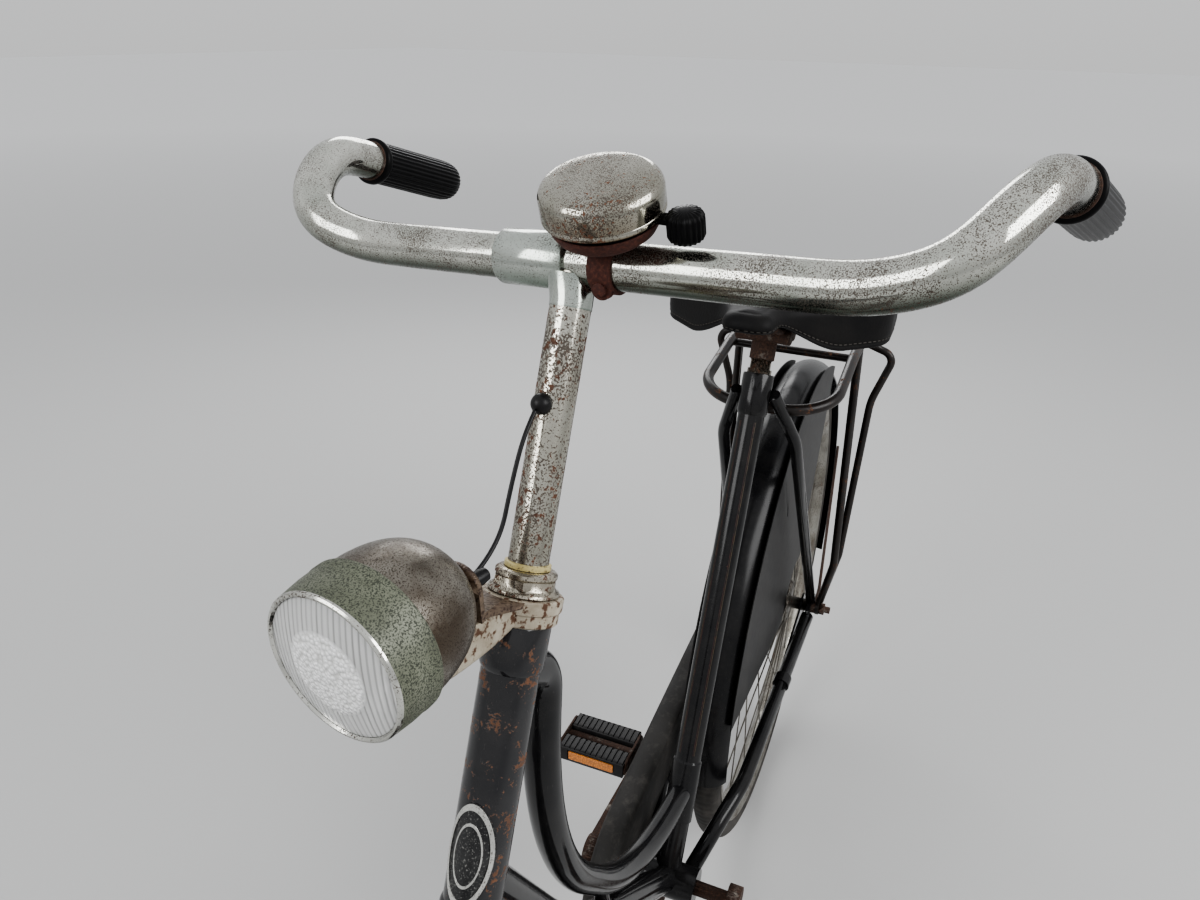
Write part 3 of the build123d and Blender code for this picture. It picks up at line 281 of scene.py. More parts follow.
def flat_bar(route, widths, heights):
    """A bar of rounded flat section along a route: each ring is (w/2 |cos t|^p, h/2 |sin t|^p), with
    p = 0.35 and the signs of the cosine and sine kept."""
    tangent = directions(route)
    across = np.cross(UP, tangent)
    across /= np.linalg.norm(across, axis=1)[:, None]
    rise = np.cross(tangent, across)
    wide, tall = squared(np.linspace(0, 2 * pi, 40, endpoint=False), 0.35)
    return capped(route[:, None] + widths[:, None, None] / 2 * wide[None, :, None] * across[:, None]
                  + heights[:, None, None] / 2 * tall[None, :, None] * rise[:, None])


def turned(profile, centre, axis, side, segments):
    """Rings of a profile of (along, radius) pairs turned about an axis through centre."""
    profile = np.asarray(profile, float)
    axis = unit(axis)
    across = unit(side - (side @ axis) * axis)
    other = np.cross(axis, across)
    angle = np.linspace(0, 2 * pi, segments, endpoint=False)
    ring = np.cos(angle)[None, :, None] * across + np.sin(angle)[None, :, None] * other
    return centre + profile[:, 0, None, None] * axis + profile[:, 1, None, None] * ring


def lathe(profile, centre, axis, side, segments):
    """A turned profile, closed at both ends."""
    return capped(turned(profile, centre, axis, side, segments))


def about_head(profile, segments):
    """A profile turned about the steering axis."""
    return lathe(profile, steer_foot, head_up, SIDE, segments)


def about_bar(profile, segments):
    """A profile turned about the straight middle of the handlebar."""
    return lathe(profile, bar_centre, SIDE, UP, segments)


def prism(outline, low, high, plane_x, plane_y, origin, inset=0.6):
    """A flat plate: an outline of (x, y) pairs raised from low to high along the plane's normal,
    its edges eased by a small inset towards its middle."""
    normal = np.cross(plane_x, plane_y)
    middle = outline.mean(0)
    away = outline - middle
    length = np.linalg.norm(away, axis=1)[:, None]
    small = middle + away * (length - inset) / length
    ease = min(inset, (high - low) / 3)
    layers = [(small, low), (outline, low + ease), (outline, high - ease), (small, high)]
    return capped(np.stack([origin + flat[:, :1] * plane_x + flat[:, 1:] * plane_y + level * normal
                            for flat, level in layers]))


def reworked(mesh, step):
    """One bmesh step on a mesh."""
    work = bmesh.new()
    work.from_mesh(mesh)
    step(work)
    work.to_mesh(mesh)
    work.free()


def placed(name, data):
    """A new object of the data, linked to the scene."""
    thing = bpy.data.objects.new(name, data)
    bpy.context.scene.collection.objects.link(thing)
    return thing


def shaded(name, mesh, material, sharp):
    """An object of the mesh, smooth but for edges sharper than the given angle."""
    mesh.polygons.foreach_set("use_smooth", np.ones(len(mesh.polygons), bool))
    mesh.set_sharp_from_angle(angle=radians(sharp))
    mesh.materials.append(material)
    return placed(name, mesh)


def make(name, shapes, material, body, nodes=(), steered=False, sharp=35):
    """One object from several closed shapes, their faces turned outwards. Its attribute facing_down is
    1 where the surface looks down, and 0 where it is upright or looks up."""
    points, faces, start = [], [], 0
    for verts, shape_faces in shapes:
        points.append(steer(verts) if steered else verts)
        faces += [[number + start for number in face] for face in shape_faces]
        start += len(verts)
    mesh = bpy.data.meshes.new(name)
    mesh.from_pydata((np.concatenate(points) * MM).tolist(), [], faces)
    piece = shaded(name, mesh, material, sharp)
    reworked(mesh, lambda work: bmesh.ops.recalc_face_normals(work, faces=work.faces))
    normals = np.empty(3 * len(mesh.vertices))
    mesh.vertices.foreach_get("normal", normals)
    down = mesh.attributes.new("facing_down", "FLOAT", "POINT")
    down.data.foreach_set("value", np.clip(-normals[2::3], 0, 1))
    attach(piece, body)
    for node in nodes:
        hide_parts(node)
    return piece


def make_on_fork(name, shapes, material, nodes=(), sharp=35):
    """A piece that turns with the fork, from shapes worked out with the wheel straight."""
    return make(name, shapes, material, "fork", nodes, True, sharp)


def smooth_copy(node, name, material):
    """A merged and smooth-shaded copy of a CAD node's own mesh, which stands for it."""
    source = frame["nodes"][node]
    mesh = source.data.copy()
    mesh.name = name
    reworked(mesh, lambda work: bmesh.ops.remove_doubles(work, verts=work.verts, dist=0.01 * MM))
    mesh.materials.clear()
    piece = shaded(name, mesh, material, 35)
    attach(piece, source["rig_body"])
    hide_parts(node)


# Materials


def new_node(tree, kind, inputs, **settings):
    """A shader node with its settings; each input is a value or the socket that feeds it."""
    node = tree.nodes.new("ShaderNode" + kind)
    for key, value in settings.items():
        setattr(node, key, value)
    for key, value in inputs.items():
        if isinstance(value, bpy.types.NodeSocket):
            tree.links.new(value, node.inputs[key])
        else:
            node.inputs[key].default_value = value
    return node


def opaque(colour):
    """A colour with full cover, from three values or from one for a grey."""
    return (colour,) * 3 + (1,) if np.isscalar(colour) else tuple(colour) + (1,)


def toned(tree, source, stops):
    """A colour ramp over a source; each stop is a position and a colour."""
    node = new_node(tree, "ValToRGB", {"Fac": source})
    elements = node.color_ramp.elements
    while len(elements) < len(stops):
        elements.new(0.5)
    for element, (position, colour) in zip(elements, stops):
        element.position = position
        element.color = opaque(colour)
    return node.outputs["Color"]


class Finish:
    """A material under construction: short calls that add and join its nodes."""

    def __init__(self, name, slot_name=None):
        self.material = bpy.data.materials.new(name)
        self.material.use_nodes = True
        self.tree = self.material.node_tree
        self.shader = self.tree.nodes["Principled BSDF"]
        self.place = self.node("TexCoord", {}).outputs["Object"]

    def node(self, kind, inputs, **settings):
        return new_node(self.tree, kind, inputs, **settings)

    def link(self, source, target):
        self.tree.links.new(source, target)

    def put(self, **values):
        for key, value in values.items():
            self.shader.inputs[key.replace("_", " ")].default_value = value

    def noise(self, scale, detail, rough, distortion=0.0, place=None):
        inputs = {"Scale": scale, "Detail": detail, "Roughness": rough, "Distortion": distortion}
        return self.node("TexNoise", inputs | {"Vector": place or self.place}).outputs["Fac"]

    def cells(self, scale, feature="F1"):
        node = self.node("TexVoronoi", {"Scale": scale, "Vector": self.place}, feature=feature)
        return node.outputs["Distance"]

    def stretched(self, sx, sy, sz):
        return self.node("Mapping", {"Scale": (sx, sy, sz), "Vector": self.place}).outputs["Vector"]

    def far_from(self, point):
        """The distance from a point, in metres."""
        node = self.node("VectorMath", {0: self.place, 1: tuple(point)}, operation="DISTANCE")
        return node.outputs["Value"]

    def ramp(self, source, *stops):
        return toned(self.tree, source, stops)

    def stored(self, name, *stops):
        """A ramp over an attribute that the mesh carries."""
        return self.ramp(self.node("Attribute", {}, attribute_name=name).outputs["Fac"], *stops)

    def mix(self, share, first, second, blend="MIX"):
        first, second = (value if isinstance(value, bpy.types.NodeSocket) else opaque(value)
                         for value in (first, second))
        node = self.node("Mix", {0: share, 6: first, 7: second}, data_type="RGBA", blend_type=blend)
        return node.outputs[2]

    def maths(self, operation, first, second):
        return self.node("Math", {0: first, 1: second}, operation=operation).outputs[0]

    def part_of(self, source, share):
        return self.maths("MULTIPLY", source, share)

    def height(self, source, strength, distance, before=None):
        inputs = {"Strength": strength, "Distance": distance, "Height": source}
        if before is not None:
            inputs["Normal"] = before
        return self.node("Bump", inputs).outputs["Normal"]

    def done(self, colour, roughness, metallic=None, normal=None):
        for source, key in ((colour, "Base Color"), (roughness, "Roughness"), (metallic, "Metallic"),
                            (normal, "Normal")):
            if source is not None:
                self.link(source, self.shader.inputs[key])
        return self.material


def grey(value):
    return (value,) * 3


def pitted_chrome(name, slot_name, bright, haze, pits, rust, shine, pit_scale=1100.0, underside_shade=grey(0.5)):
    """Old plating: bright metal clouded by a haze and peppered with dark pits that crowd together in
    places, with brown spots where they crowd most. pits and rust run from 0 (none) to 1 (covered);
    the last argument is a painted shade and dark reflection, tinted and multiplied over what faces down,
    from the mesh's own attribute."""
    f = Finish(name, slot_name)
    cloud = f.noise(22.0, 6.0, 0.62)
    fine = f.noise(420.0, 6.0, 0.7)
    pepper = f.noise(pit_scale, 3.0, 0.6)
    larger = f.noise(pit_scale * 0.30, 4.0, 0.65)
    crowd = f.noise(24.0, 6.0, 0.66)
    crowded = f.ramp(crowd, (0.36, 0.0), (0.64, 1.0))
    edge = 0.70 - 0.18 * pits
    dark = f.ramp(f.maths("ADD", pepper, f.part_of(crowded, 0.15)), (edge + 0.02, 0.0), (edge + 0.06, 1.0))
    low = 0.70 - 0.18 * rust
    # Painted shade: a dark reflection tone laid over the surfaces that face down.
    shaded_underside = f.stored("facing_down", (0.08, 0.0), (0.68, 1.0))
    spots = f.maths("ADD", f.part_of(crowd, 0.30), f.part_of(larger, 0.70))
    stain = f.ramp(f.maths("ADD", spots, f.part_of(shaded_underside, 0.05)), (low, 0.0), (low + 0.03, 1.0))
    base = f.mix(f.ramp(cloud, (0.38, 0.0), (0.66, 1.0)), bright, haze)
    base = f.mix(shaded_underside, base, f.mix(1.0, base, underside_shade, "MULTIPLY"))
    colour = f.mix(f.part_of(dark, 0.93), base, (0.055, 0.040, 0.030))
    brown = f.ramp(fine, (0.3, (0.035, 0.016, 0.010)), (0.7, (0.13, 0.055, 0.026)))
    colour = f.mix(stain, colour, brown)
    rough = f.mix(f.ramp(cloud, (0.32, 0.0), (0.72, 1.0)), grey(shine[0]), grey(shine[1]))
    spoiled = f.mix(1.0, f.part_of(dark, 0.7), stain, "ADD")
    rough = f.mix(spoiled, rough, grey(0.72))
    metal = f.mix(spoiled, grey(1.0), grey(0.2))
    return f.done(colour, rough, metal, f.height(stain, 0.15, 0.0001))


def worn_enamel(name, slot_name, colour=(0.0060, 0.0060, 0.0068), rust=0.30, dust=0.05, shine=0.10,
                gloss=0.32):
    """Glossy black paint with rust coming through in small spots, fine scuffs and a little grey dust."""
    f = Finish(name, slot_name)
    patches = f.noise(85.0, 8.0, 0.68, 0.4)
    fine = f.noise(520.0, 5.0, 0.68)
    scratch = f.noise(160.0, 3.0, 0.6, place=f.stretched(7.0, 7.0, 0.7))
    low = 0.70 - 0.15 * rust
    bloom = f.ramp(f.maths("ADD", f.part_of(patches, 0.64), f.part_of(fine, 0.36)),
                   (low, 0.0), (low + 0.03, 1.0))
    scuff = f.ramp(scratch, (0.66, 0.0), (0.70, 1.0))
    settle = f.part_of(f.ramp(f.noise(30.0, 6.0, 0.7), (0.4, 0.0), (0.75, 1.0)), dust)
    base = f.mix(f.part_of(scuff, 0.35), colour, (0.09, 0.085, 0.08))
    base = f.mix(settle, base, (0.20, 0.185, 0.165))
    brown = f.ramp(fine, (0.3, (0.035, 0.016, 0.010)), (0.7, (0.16, 0.072, 0.036)))
    base = f.mix(bloom, base, brown)
    rough = f.mix(settle, grey(shine), grey(0.7))
    rough = f.mix(f.ramp(patches, (0.38, 0.0), (0.78, 0.4)), rough, grey(0.34))
    rough = f.mix(bloom, rough, grey(0.85))
    normal = f.height(bloom, 0.25, 0.0002)
    normal = f.height(f.noise(90.0, 3.0, 0.5), 0.03, 0.0005, before=normal)
    f.put(Specular_IOR_Level=gloss)
    return f.done(base, rough, None, normal)


def rusted_steel(name, slot_name, clean, tones):
    """Steel gone brown: dark and lighter rust in layers, with bare grey metal where it is worn."""
    f = Finish(name, slot_name)
    large = f.noise(60.0, 7.0, 0.7)
    fine = f.noise(480.0, 6.0, 0.72)
    brown = f.ramp(fine, (0.28, tones[0]), (0.52, tones[1]), (0.75, tones[2]))
    bare = f.ramp(large, (0.60 - 0.2 * clean, 0.0), (0.72 - 0.2 * clean, 1.0))
    colour = f.mix(bare, brown, (0.17, 0.155, 0.135))
    rough = f.mix(bare, grey(0.8), grey(0.42))
    metal = f.mix(bare, grey(0.15), grey(0.85))
    return f.done(colour, rough, metal, f.height(fine, 0.30, 0.0003))


def dusty_rubber(name, slot_name, colour, dust, roughness=0.62, gloss=0.25):
    """Rubber with pale dust in its hollows and a faint grain."""
    f = Finish(name, slot_name)
    cloud = f.noise(40.0, 6.0, 0.7)
    grain = f.noise(900.0, 3.0, 0.6)
    share = f.part_of(f.ramp(cloud, (0.35, 0.1), (0.75, 1.0)), dust)
    base = f.mix(share, colour, (0.20, 0.18, 0.16))
    rough = f.mix(share, grey(roughness), grey(0.9))
    f.put(Specular_IOR_Level=gloss)
    return f.done(base, rough, None, f.height(grain, 0.12, 0.0002))


def oilcloth(name, slot_name):
    """Coated cloth: a fine pressed grain over a dull brownish black, dusty in patches."""
    f = Finish(name, slot_name)
    grain = f.cells(620.0, "SMOOTH_F1")
    cloud = f.noise(18.0, 6.0, 0.65)
    base = f.ramp(cloud, (0.3, (0.012, 0.0115, 0.011)), (0.7, (0.030, 0.028, 0.026)))
    share = f.part_of(f.ramp(f.noise(70.0, 5.0, 0.7), (0.5, 0.0), (0.75, 1.0)), 0.35)
    base = f.mix(share, base, (0.11, 0.10, 0.088))
    rough = f.ramp(cloud, (0.3, 0.50), (0.7, 0.72))
    f.put(Specular_IOR_Level=0.25)
    return f.done(base, rough, None, f.height(grain, 0.35, 0.0003))


def saddle_leather(name, slot_name):
    """Black seat cover with a pebbled grain, worn a little paler in patches."""
    f = Finish(name, slot_name)
    pebble = f.cells(420.0, "SMOOTH_F1")
    cloud = f.noise(24.0, 5.0, 0.65)
    base = f.ramp(cloud, (0.3, (0.006, 0.006, 0.0065)), (0.75, (0.014, 0.013, 0.0125)))
    rough = f.ramp(cloud, (0.3, 0.46), (0.7, 0.60))
    f.put(Specular_IOR_Level=0.12)
    return f.done(base, rough, None, f.height(pebble, 0.4, 0.0004))


def clear_glass(name, slot_name, middle, disc_radius):
    """Pressed glass with painted shade between its flutes, and a frosted disc of small bubbles round its
    middle.
    """
    f = Finish(name, slot_name)
    smear = f.noise(60.0, 4.0, 0.6)
    away = f.maths("DIVIDE", f.far_from(middle * MM), 2 * disc_radius * MM)
    disc = f.ramp(away, (0.46, 1.0), (0.52, 0.0))
    bubbles = f.cells(480.0)
    rise = f.mix(disc, grey(0.0), f.ramp(bubbles, (0.0, 1.0), (0.9, 0.0)))
    f.put(IOR=1.45)
    # Painted shade: the glass is darker in the grooves between the flutes and lighter on their crests.
    flute_shade = f.stored("flute_shade", (0.15, (0.50, 0.50, 0.49)), (0.70, (1.0, 1.0, 0.99)))
    colour = f.mix(disc, flute_shade, f.ramp(bubbles, (0.25, grey(1.0)), (0.9, (0.60, 0.60, 0.58))))
    f.link(f.mix(disc, grey(0.58), grey(0.05)), f.shader.inputs["Transmission Weight"])
    rough = f.mix(disc, f.ramp(smear, (0.4, 0.05), (0.8, 0.14)), grey(0.14))
    return f.done(colour, rough, None, f.height(rise, 0.9, 0.0014))


def silvered(name, slot_name):
    """The bright bowl behind the lens, slightly tarnished."""
    f = Finish(name, slot_name)
    f.put(Metallic=0.65)
    cloud = f.noise(40.0, 4.0, 0.6)
    return f.done(f.ramp(cloud, (0.3, (0.93, 0.94, 0.95)), (0.8, (0.80, 0.79, 0.77))),
                  f.ramp(cloud, (0.3, 0.10), (0.8, 0.24)))


def mottled_paint(name, slot_name, low, high, specks, speck_share, speck_scale, metallic,
                  shine=(0.30, 0.52)):
    """A worn coat between two colours, covered with small dark specks."""
    f = Finish(name, slot_name)
    cloud = f.noise(26.0, 7.0, 0.68)
    streak = f.noise(60.0, 6.0, 0.7)
    pepper = f.noise(speck_scale, 3.0, 0.6)
    edge = 0.66 - 0.14 * speck_share
    dark = f.ramp(f.maths("ADD", pepper, f.part_of(streak, 0.12)), (edge, 0.0), (edge + 0.10, 1.0))
    base = f.mix(f.ramp(cloud, (0.38, 0.0), (0.64, 1.0)), low, high)
    base = f.mix(dark, base, specks)
    rough = f.ramp(streak, (0.3, shine[0]), (0.7, shine[1]))
    rough = f.mix(f.part_of(dark, 0.7), rough, grey(0.75))
    f.put(Metallic=metallic)
    return f.done(base, rough, None, f.height(dark, 0.2, 0.0001))


def reflector(name, slot_name, colour):
    """Moulded reflector plastic with a fine prism pattern under a clear face."""
    f = Finish(name, slot_name)
    prisms = f.cells(360.0, "DISTANCE_TO_EDGE")
    base = f.mix(f.ramp(prisms, (0.0, 0.0), (0.25, 1.0)), tuple(0.45 * c for c in colour), colour)
    f.put(Coat_Weight=0.8, Coat_Roughness=0.08, Roughness=0.25)
    return f.done(base, None, None, f.height(prisms, 0.5, 0.0004))


def pinstripe_paint(name, slot_name, colour):
    """The thin coach line, faded and chipped."""
    f = Finish(name, slot_name)
    wear = f.noise(120.0, 5.0, 0.65)
    return f.done(f.ramp(wear, (0.42, colour), (0.62, tuple(0.25 * c for c in colour))),
                  f.ramp(wear, (0.4, 0.35), (0.7, 0.7)))


def fading_floor(name):
    """Floor colour with painted light: darker near the bicycle and paler with the distance, up to 12 metres
    from the origin, so the far floor melts into the backdrop.
    """
    reach = 12.0
    f = Finish(name)
    f.put(Roughness=0.8)
    near = f.maths("DIVIDE", f.far_from((0, 0, 0)), reach)
    return f.done(f.ramp(near, (0.12, (0.45, 0.45, 0.445)), (0.9, (0.74, 0.74, 0.735))), None)


# The last tone of each plating is painted shade and dark reflection on what faces down.
chrome_bar = pitted_chrome("bar_chrome", "dull_chrome", (0.62, 0.62, 0.57), (0.45, 0.47, 0.42),
                           pits=0.66, rust=0.32, shine=(0.06, 0.20), pit_scale=1500.0,
                           underside_shade=(0.11, 0.14, 0.115))
chrome_lug = pitted_chrome("lug_chrome", "dull_chrome", (0.50, 0.53, 0.49), (0.37, 0.41, 0.37),
                           pits=0.55, rust=0.20, shine=(0.10, 0.26), pit_scale=1500.0,
                           underside_shade=(0.40, 0.46, 0.42))
chrome_stem = pitted_chrome("stem_chrome", "dull_chrome", (0.55, 0.54, 0.48), (0.40, 0.38, 0.32),
                            pits=0.84, rust=0.82, shine=(0.12, 0.28), pit_scale=850.0,
                            underside_shade=(0.5, 0.5, 0.45))
chrome_bell = pitted_chrome("bell_chrome", "dull_chrome", (0.47, 0.46, 0.41), (0.32, 0.31, 0.26),
                            pits=0.62, rust=0.62, shine=(0.05, 0.18), pit_scale=1400.0,
                            underside_shade=(0.50, 0.40, 0.30))
chrome_nuts = pitted_chrome("nut_chrome", "dull_chrome", (0.50, 0.47, 0.40), (0.36, 0.32, 0.25),
                            pits=0.72, rust=0.9, shine=(0.16, 0.34), pit_scale=1000.0)
chrome_rim = pitted_chrome("rim_chrome", "dull_chrome", (0.36, 0.35, 0.32), (0.24, 0.23, 0.20),
                           pits=0.6, rust=0.55, shine=(0.28, 0.5))
chrome_bezel = pitted_chrome("bezel_chrome", "dull_chrome", (0.66, 0.66, 0.62), (0.50, 0.50, 0.46),
                             pits=0.4, rust=0.1, shine=(0.08, 0.22))
spoke_metal = pitted_chrome("spoke_metal", "hub_metal", (0.22, 0.21, 0.19), (0.15, 0.14, 0.12),
                            pits=0.5, rust=0.55, shine=(0.40, 0.6))
enamel = worn_enamel("black_enamel_worn", "black_enamel")
enamel_rusty = worn_enamel("black_enamel_rusty", "black_enamel", (0.012, 0.012, 0.0135), rust=1.0,
                           gloss=0.55)
enamel_carrier = worn_enamel("carrier_enamel", "black_enamel", (0.012, 0.009, 0.008), rust=0.85, shine=0.30)
enamel_guard = worn_enamel("guard_enamel", "black_enamel", rust=0.15, shine=0.22, gloss=0.25)
sheet_vinyl = worn_enamel("sheet_vinyl", "case_cloth", (0.007, 0.007, 0.0075), rust=0.0, dust=0.10,
                          shine=0.42, gloss=0.12)
rust_brown = rusted_steel("rust_brown", "rusty_steel", clean=0.25,
                          tones=((0.014, 0.009, 0.007), (0.045, 0.022, 0.014), (0.13, 0.062, 0.034)))
rust_red = rusted_steel("rust_red", "rusty_steel", clean=0.0,
                        tones=((0.020, 0.006, 0.004), (0.060, 0.016, 0.010), (0.14, 0.045, 0.026)))
tyre_rubber = dusty_rubber("tyre_rubber_dusty", "tyre_rubber", (0.016, 0.015, 0.014), dust=0.35)
grip_rubber = dusty_rubber("grip_rubber", "black_rubber", (0.0035, 0.0035, 0.004), dust=0.015,
                           roughness=0.32, gloss=0.09)
block_rubber = dusty_rubber("block_rubber", "black_rubber", (0.010, 0.010, 0.011), dust=0.10,
                            roughness=0.42)
wire_rubber = dusty_rubber("wire_rubber", "black_rubber", (0.006, 0.006, 0.007), dust=0.03,
                           roughness=0.35)
seam_thread = dusty_rubber("seam_thread", "saddle_cover", (0.045, 0.042, 0.038), dust=0.2,
                           roughness=0.8)
case_oilcloth = oilcloth("case_oilcloth", "case_cloth")
cover_leather = saddle_leather("cover_leather", "saddle_cover")
bowl_silver = silvered("bowl_silver", "dull_chrome")
shell_coat = mottled_paint("shell_coat", "lamp_shell_finish", (0.080, 0.062, 0.045), (0.25, 0.235, 0.205),
                           (0.045, 0.033, 0.024), speck_share=0.60, speck_scale=1500.0, metallic=0.8,
                           shine=(0.20, 0.40))
ring_coat = mottled_paint("ring_coat", "lamp_shell_finish", (0.085, 0.092, 0.062), (0.175, 0.187, 0.138),
                          (0.030, 0.034, 0.023), speck_share=0.88, speck_scale=1300.0, metallic=0.12,
                          shine=(0.36, 0.54))
bracket_coat = mottled_paint("bracket_coat", "painted_bracket", (0.22, 0.18, 0.125), (0.45, 0.41, 0.33),
                             (0.085, 0.040, 0.020), speck_share=0.62, speck_scale=240.0, metallic=0.25)
bracket_rust = mottled_paint("bracket_rust", "painted_bracket", (0.060, 0.035, 0.022), (0.19, 0.14, 0.095),
                             (0.035, 0.018, 0.011), speck_share=0.7, speck_scale=500.0, metallic=0.3)
ring_yellow = mottled_paint("ring_yellow", "stem_ring_finish", (0.44, 0.36, 0.14), (0.56, 0.49, 0.25),
                            (0.12, 0.08, 0.04), speck_share=0.3, speck_scale=700.0, metallic=0.3)
badge_metal = mottled_paint("badge_plain", "badge_metal", (0.40, 0.40, 0.38), (0.58, 0.58, 0.55),
                            (0.12, 0.11, 0.10), speck_share=0.25, speck_scale=1100.0, metallic=0.5,
                            shine=(0.22, 0.36))
badge_field = mottled_paint("badge_field", "badge_metal", (0.010, 0.010, 0.011), (0.030, 0.030, 0.030),
                            (0.16, 0.16, 0.15), speck_share=0.20, speck_scale=900.0, metallic=0.2,
                            shine=(0.20, 0.36))
amber = reflector("amber_reflector", "black_rubber", (0.80, 0.27, 0.035))
red = reflector("red_reflector", "red_lens", (0.22, 0.008, 0.006))
gold_line = pinstripe_paint("gold_line", "black_enamel", (0.060, 0.038, 0.016))
red_line = pinstripe_paint("red_line", "black_enamel", (0.045, 0.010, 0.008))

# Camera, at the photograph's viewing angle

photo_width = 1200
focal_pixels = 902.14
camera_at = vec(614.6, 188.0, 1142.1)
camera_right = unit(vec(-0.386947, 0.921863, 0.021001))
camera_down = unit(vec(0.387274, 0.183141, -0.903592))


def standing(right, up, back, place):
    """The matrix of a camera or a light, from its axes and its place in metres."""
    rows = np.eye(4)
    for column, axis in enumerate((right, up, back, place)):
        rows[:3, column] = axis
    return Matrix(rows.tolist())


camera_data = bpy.data.cameras.new("photo_camera")
camera_data.sensor_width = 36.0
camera_data.lens = camera_data.sensor_width * focal_pixels / photo_width
camera_data.clip_start = 0.02
camera = placed("photo_camera", camera_data)
camera.matrix_world = standing(camera_right, -camera_down, -np.cross(camera_right, camera_down),
                               camera_at * MM)
bpy.context.scene.camera = camera

# Handlebar: the corners of its left half, with the radius of each bend

bar_half = [vec(0, 152, 0), vec(4, 188, 13), vec(-19, 206, 37), vec(-52, 214, 44), vec(-170, 226, 10)]
bar_bends = [80, 19, 74, 27]
mirror = vec(1, -1, 1)
bar_points = [bar_centre + p * mirror for p in reversed(bar_half)] + [bar_centre + p for p in bar_half]
bar_route = eased(rounded(bar_points, bar_bends[::-1] + bar_bends, radians(3)), reach=26.0)
make_on_fork("bar_tube", [tube(bar_route, bar_radius, UP, 56)], chrome_bar, ["handlebar"])

# Grips: columns are the distance from the outer end and the radius, or what it adds to the grip's

grip_past_bar = 3.0
grip_skin = np.array([(0.0, -6.4), (0.8, -3.6), (2.4, -1.8), (5.0, -0.6), (10.0, 0.2), (20.0, 0.5),
                      (grip_length - 30, 0.1), (grip_length - 12, 0.0), (grip_length - 7, 0.2),
                      (grip_length - 4, 0.2)])
grip_bead = [(grip_length - 5.5, grip_radius - 0.4), (grip_length - 5.2, grip_radius + 0.9),
             (grip_length - 4, grip_radius + 1.4), (grip_length - 1.6, grip_radius + 1.3),
             (grip_length - 0.4, grip_radius + 0.5), (grip_length, bar_radius + 0.6),
             (grip_length + 0.1, bar_radius)]
grip_plug = [(-0.4, 3.0), (-0.2, 9.0), (0.8, 10.5)]
grip_ring = [(grip_length - 0.6, bar_radius), (grip_length - 0.4, bar_radius + 0.9),
             (grip_length + 0.9, bar_radius + 0.7), (grip_length + 1.3, bar_radius + 0.1)]


def grip_ribs(angle):
    """Thirty ribs with flat tops and floors: 0.32 (clip(1.6 cos 30 a) - 1)."""
    return 0.32 * np.clip(np.cos(angle * 30) * 1.6, -1, 1) - 0.32


grip_shapes, ring_shapes = [], []
for side in (1, -1):
    flip = vec(1, side, 1)
    inward = unit(bar_half[-2] * flip - bar_half[-1] * flip)
    grip_end = bar_centre + bar_half[-1] * flip - inward * grip_past_bar
    grip_route = grip_end + grip_skin[:, :1] * inward
    grip_shapes.append(tube(grip_route, grip_radius + grip_skin[:, 1], UP, 240, grip_ribs))
    grip_shapes.append(lathe(grip_bead, grip_end, inward, UP, 56))
    grip_shapes.append(lathe(grip_plug, grip_end, inward, UP, 40))
    ring_shapes.append(lathe(grip_ring, grip_end, inward, UP, 56))
make_on_fork("grip_covers", grip_shapes, grip_rubber, ["grips"], sharp=60)
make_on_fork("grip_rings", ring_shapes, rust_brown)

# Stem and its lug

stem_skin = [(stem_ring_at - 60, stem_radius), (bar_at - 14, stem_radius), (bar_at - 6, stem_radius)]
make_on_fork("stem_tube", [about_head(stem_skin, 64)], chrome_stem, ["stem"])
lug_right, lug_left = -45.0, -2.0
lug_radius = bar_radius + 2.6
lug_band = [(lug_right, bar_radius + 0.2), (lug_right, lug_radius - 0.5), (lug_right + 0.8, lug_radius),
            (lug_left - 0.8, lug_radius), (lug_left, lug_radius - 0.5), (lug_left, bar_radius + 0.2)]


def lug_neck():
    """The lug's foot round the stem: rings over the share s of its height, which grow with s^2 and
    lean with it to the rider's right, where the band is."""
    neck_down, neck_height, neck_lean, neck_radius = 24.0, 17.0, 4.0, stem_radius + 0.3
    angle = np.linspace(0, 2 * pi, 64, endpoint=False)
    share = np.linspace(0, 1, 14)[:, None]
    spread = share**2
    middle = on_steering(bar_at - neck_down) + (head_up * neck_height) * share[..., None]
    middle = middle - spread[..., None] * vec(0, neck_lean, 0)
    return capped(middle + ((neck_radius + spread * 2) * np.cos(angle))[..., None] * head_forward
                  + ((neck_radius + spread * 3) * np.sin(angle))[..., None] * SIDE)


make_on_fork("stem_lug", [about_bar(lug_band, 72), lug_neck()], chrome_lug, sharp=50)

# Bell, in the frame of its own leaning axis

bell_at, bell_rise, bell_radius, bell_height, bell_edge = 20.0, 31.0, 31.0, 18.0, 7.5
bell_lean = unit(vec(0.333, 0.081, 0.939))
bell_across = unit(SIDE - bell_lean * bell_lean[1])
bell_back = np.cross(bell_across, bell_lean)
bell_seat = bar_centre + vec(0, bell_at, 0)
bell_foot = bell_seat + bell_lean * bell_rise


def about_bell(profile, segments):
    """A profile turned about the bell's axis."""
    return lathe(profile, bell_foot, bell_lean, SIDE, segments)


dome = [(0.9, bell_radius - 1.6), (0.35, bell_radius - 0.9), (0.35, bell_radius - 0.2), (0.9, bell_radius),
        (2.4, bell_radius), (3.0, bell_radius - 0.35), (3.6, bell_radius - 0.1),
        (bell_height - bell_edge - 1, bell_radius - 0.1)]
dome += arc_profile((bell_height - bell_edge, bell_radius - bell_edge - 0.1), bell_edge,
                    90, 14, 14).tolist()
dome += [(bell_height - 0.12, bell_radius - bell_edge - 6), (bell_height, 6.0), (bell_height, 0.8)]
make_on_fork("bell_cap", [about_bell(dome, 112)], chrome_bell, ["bell_dome"])

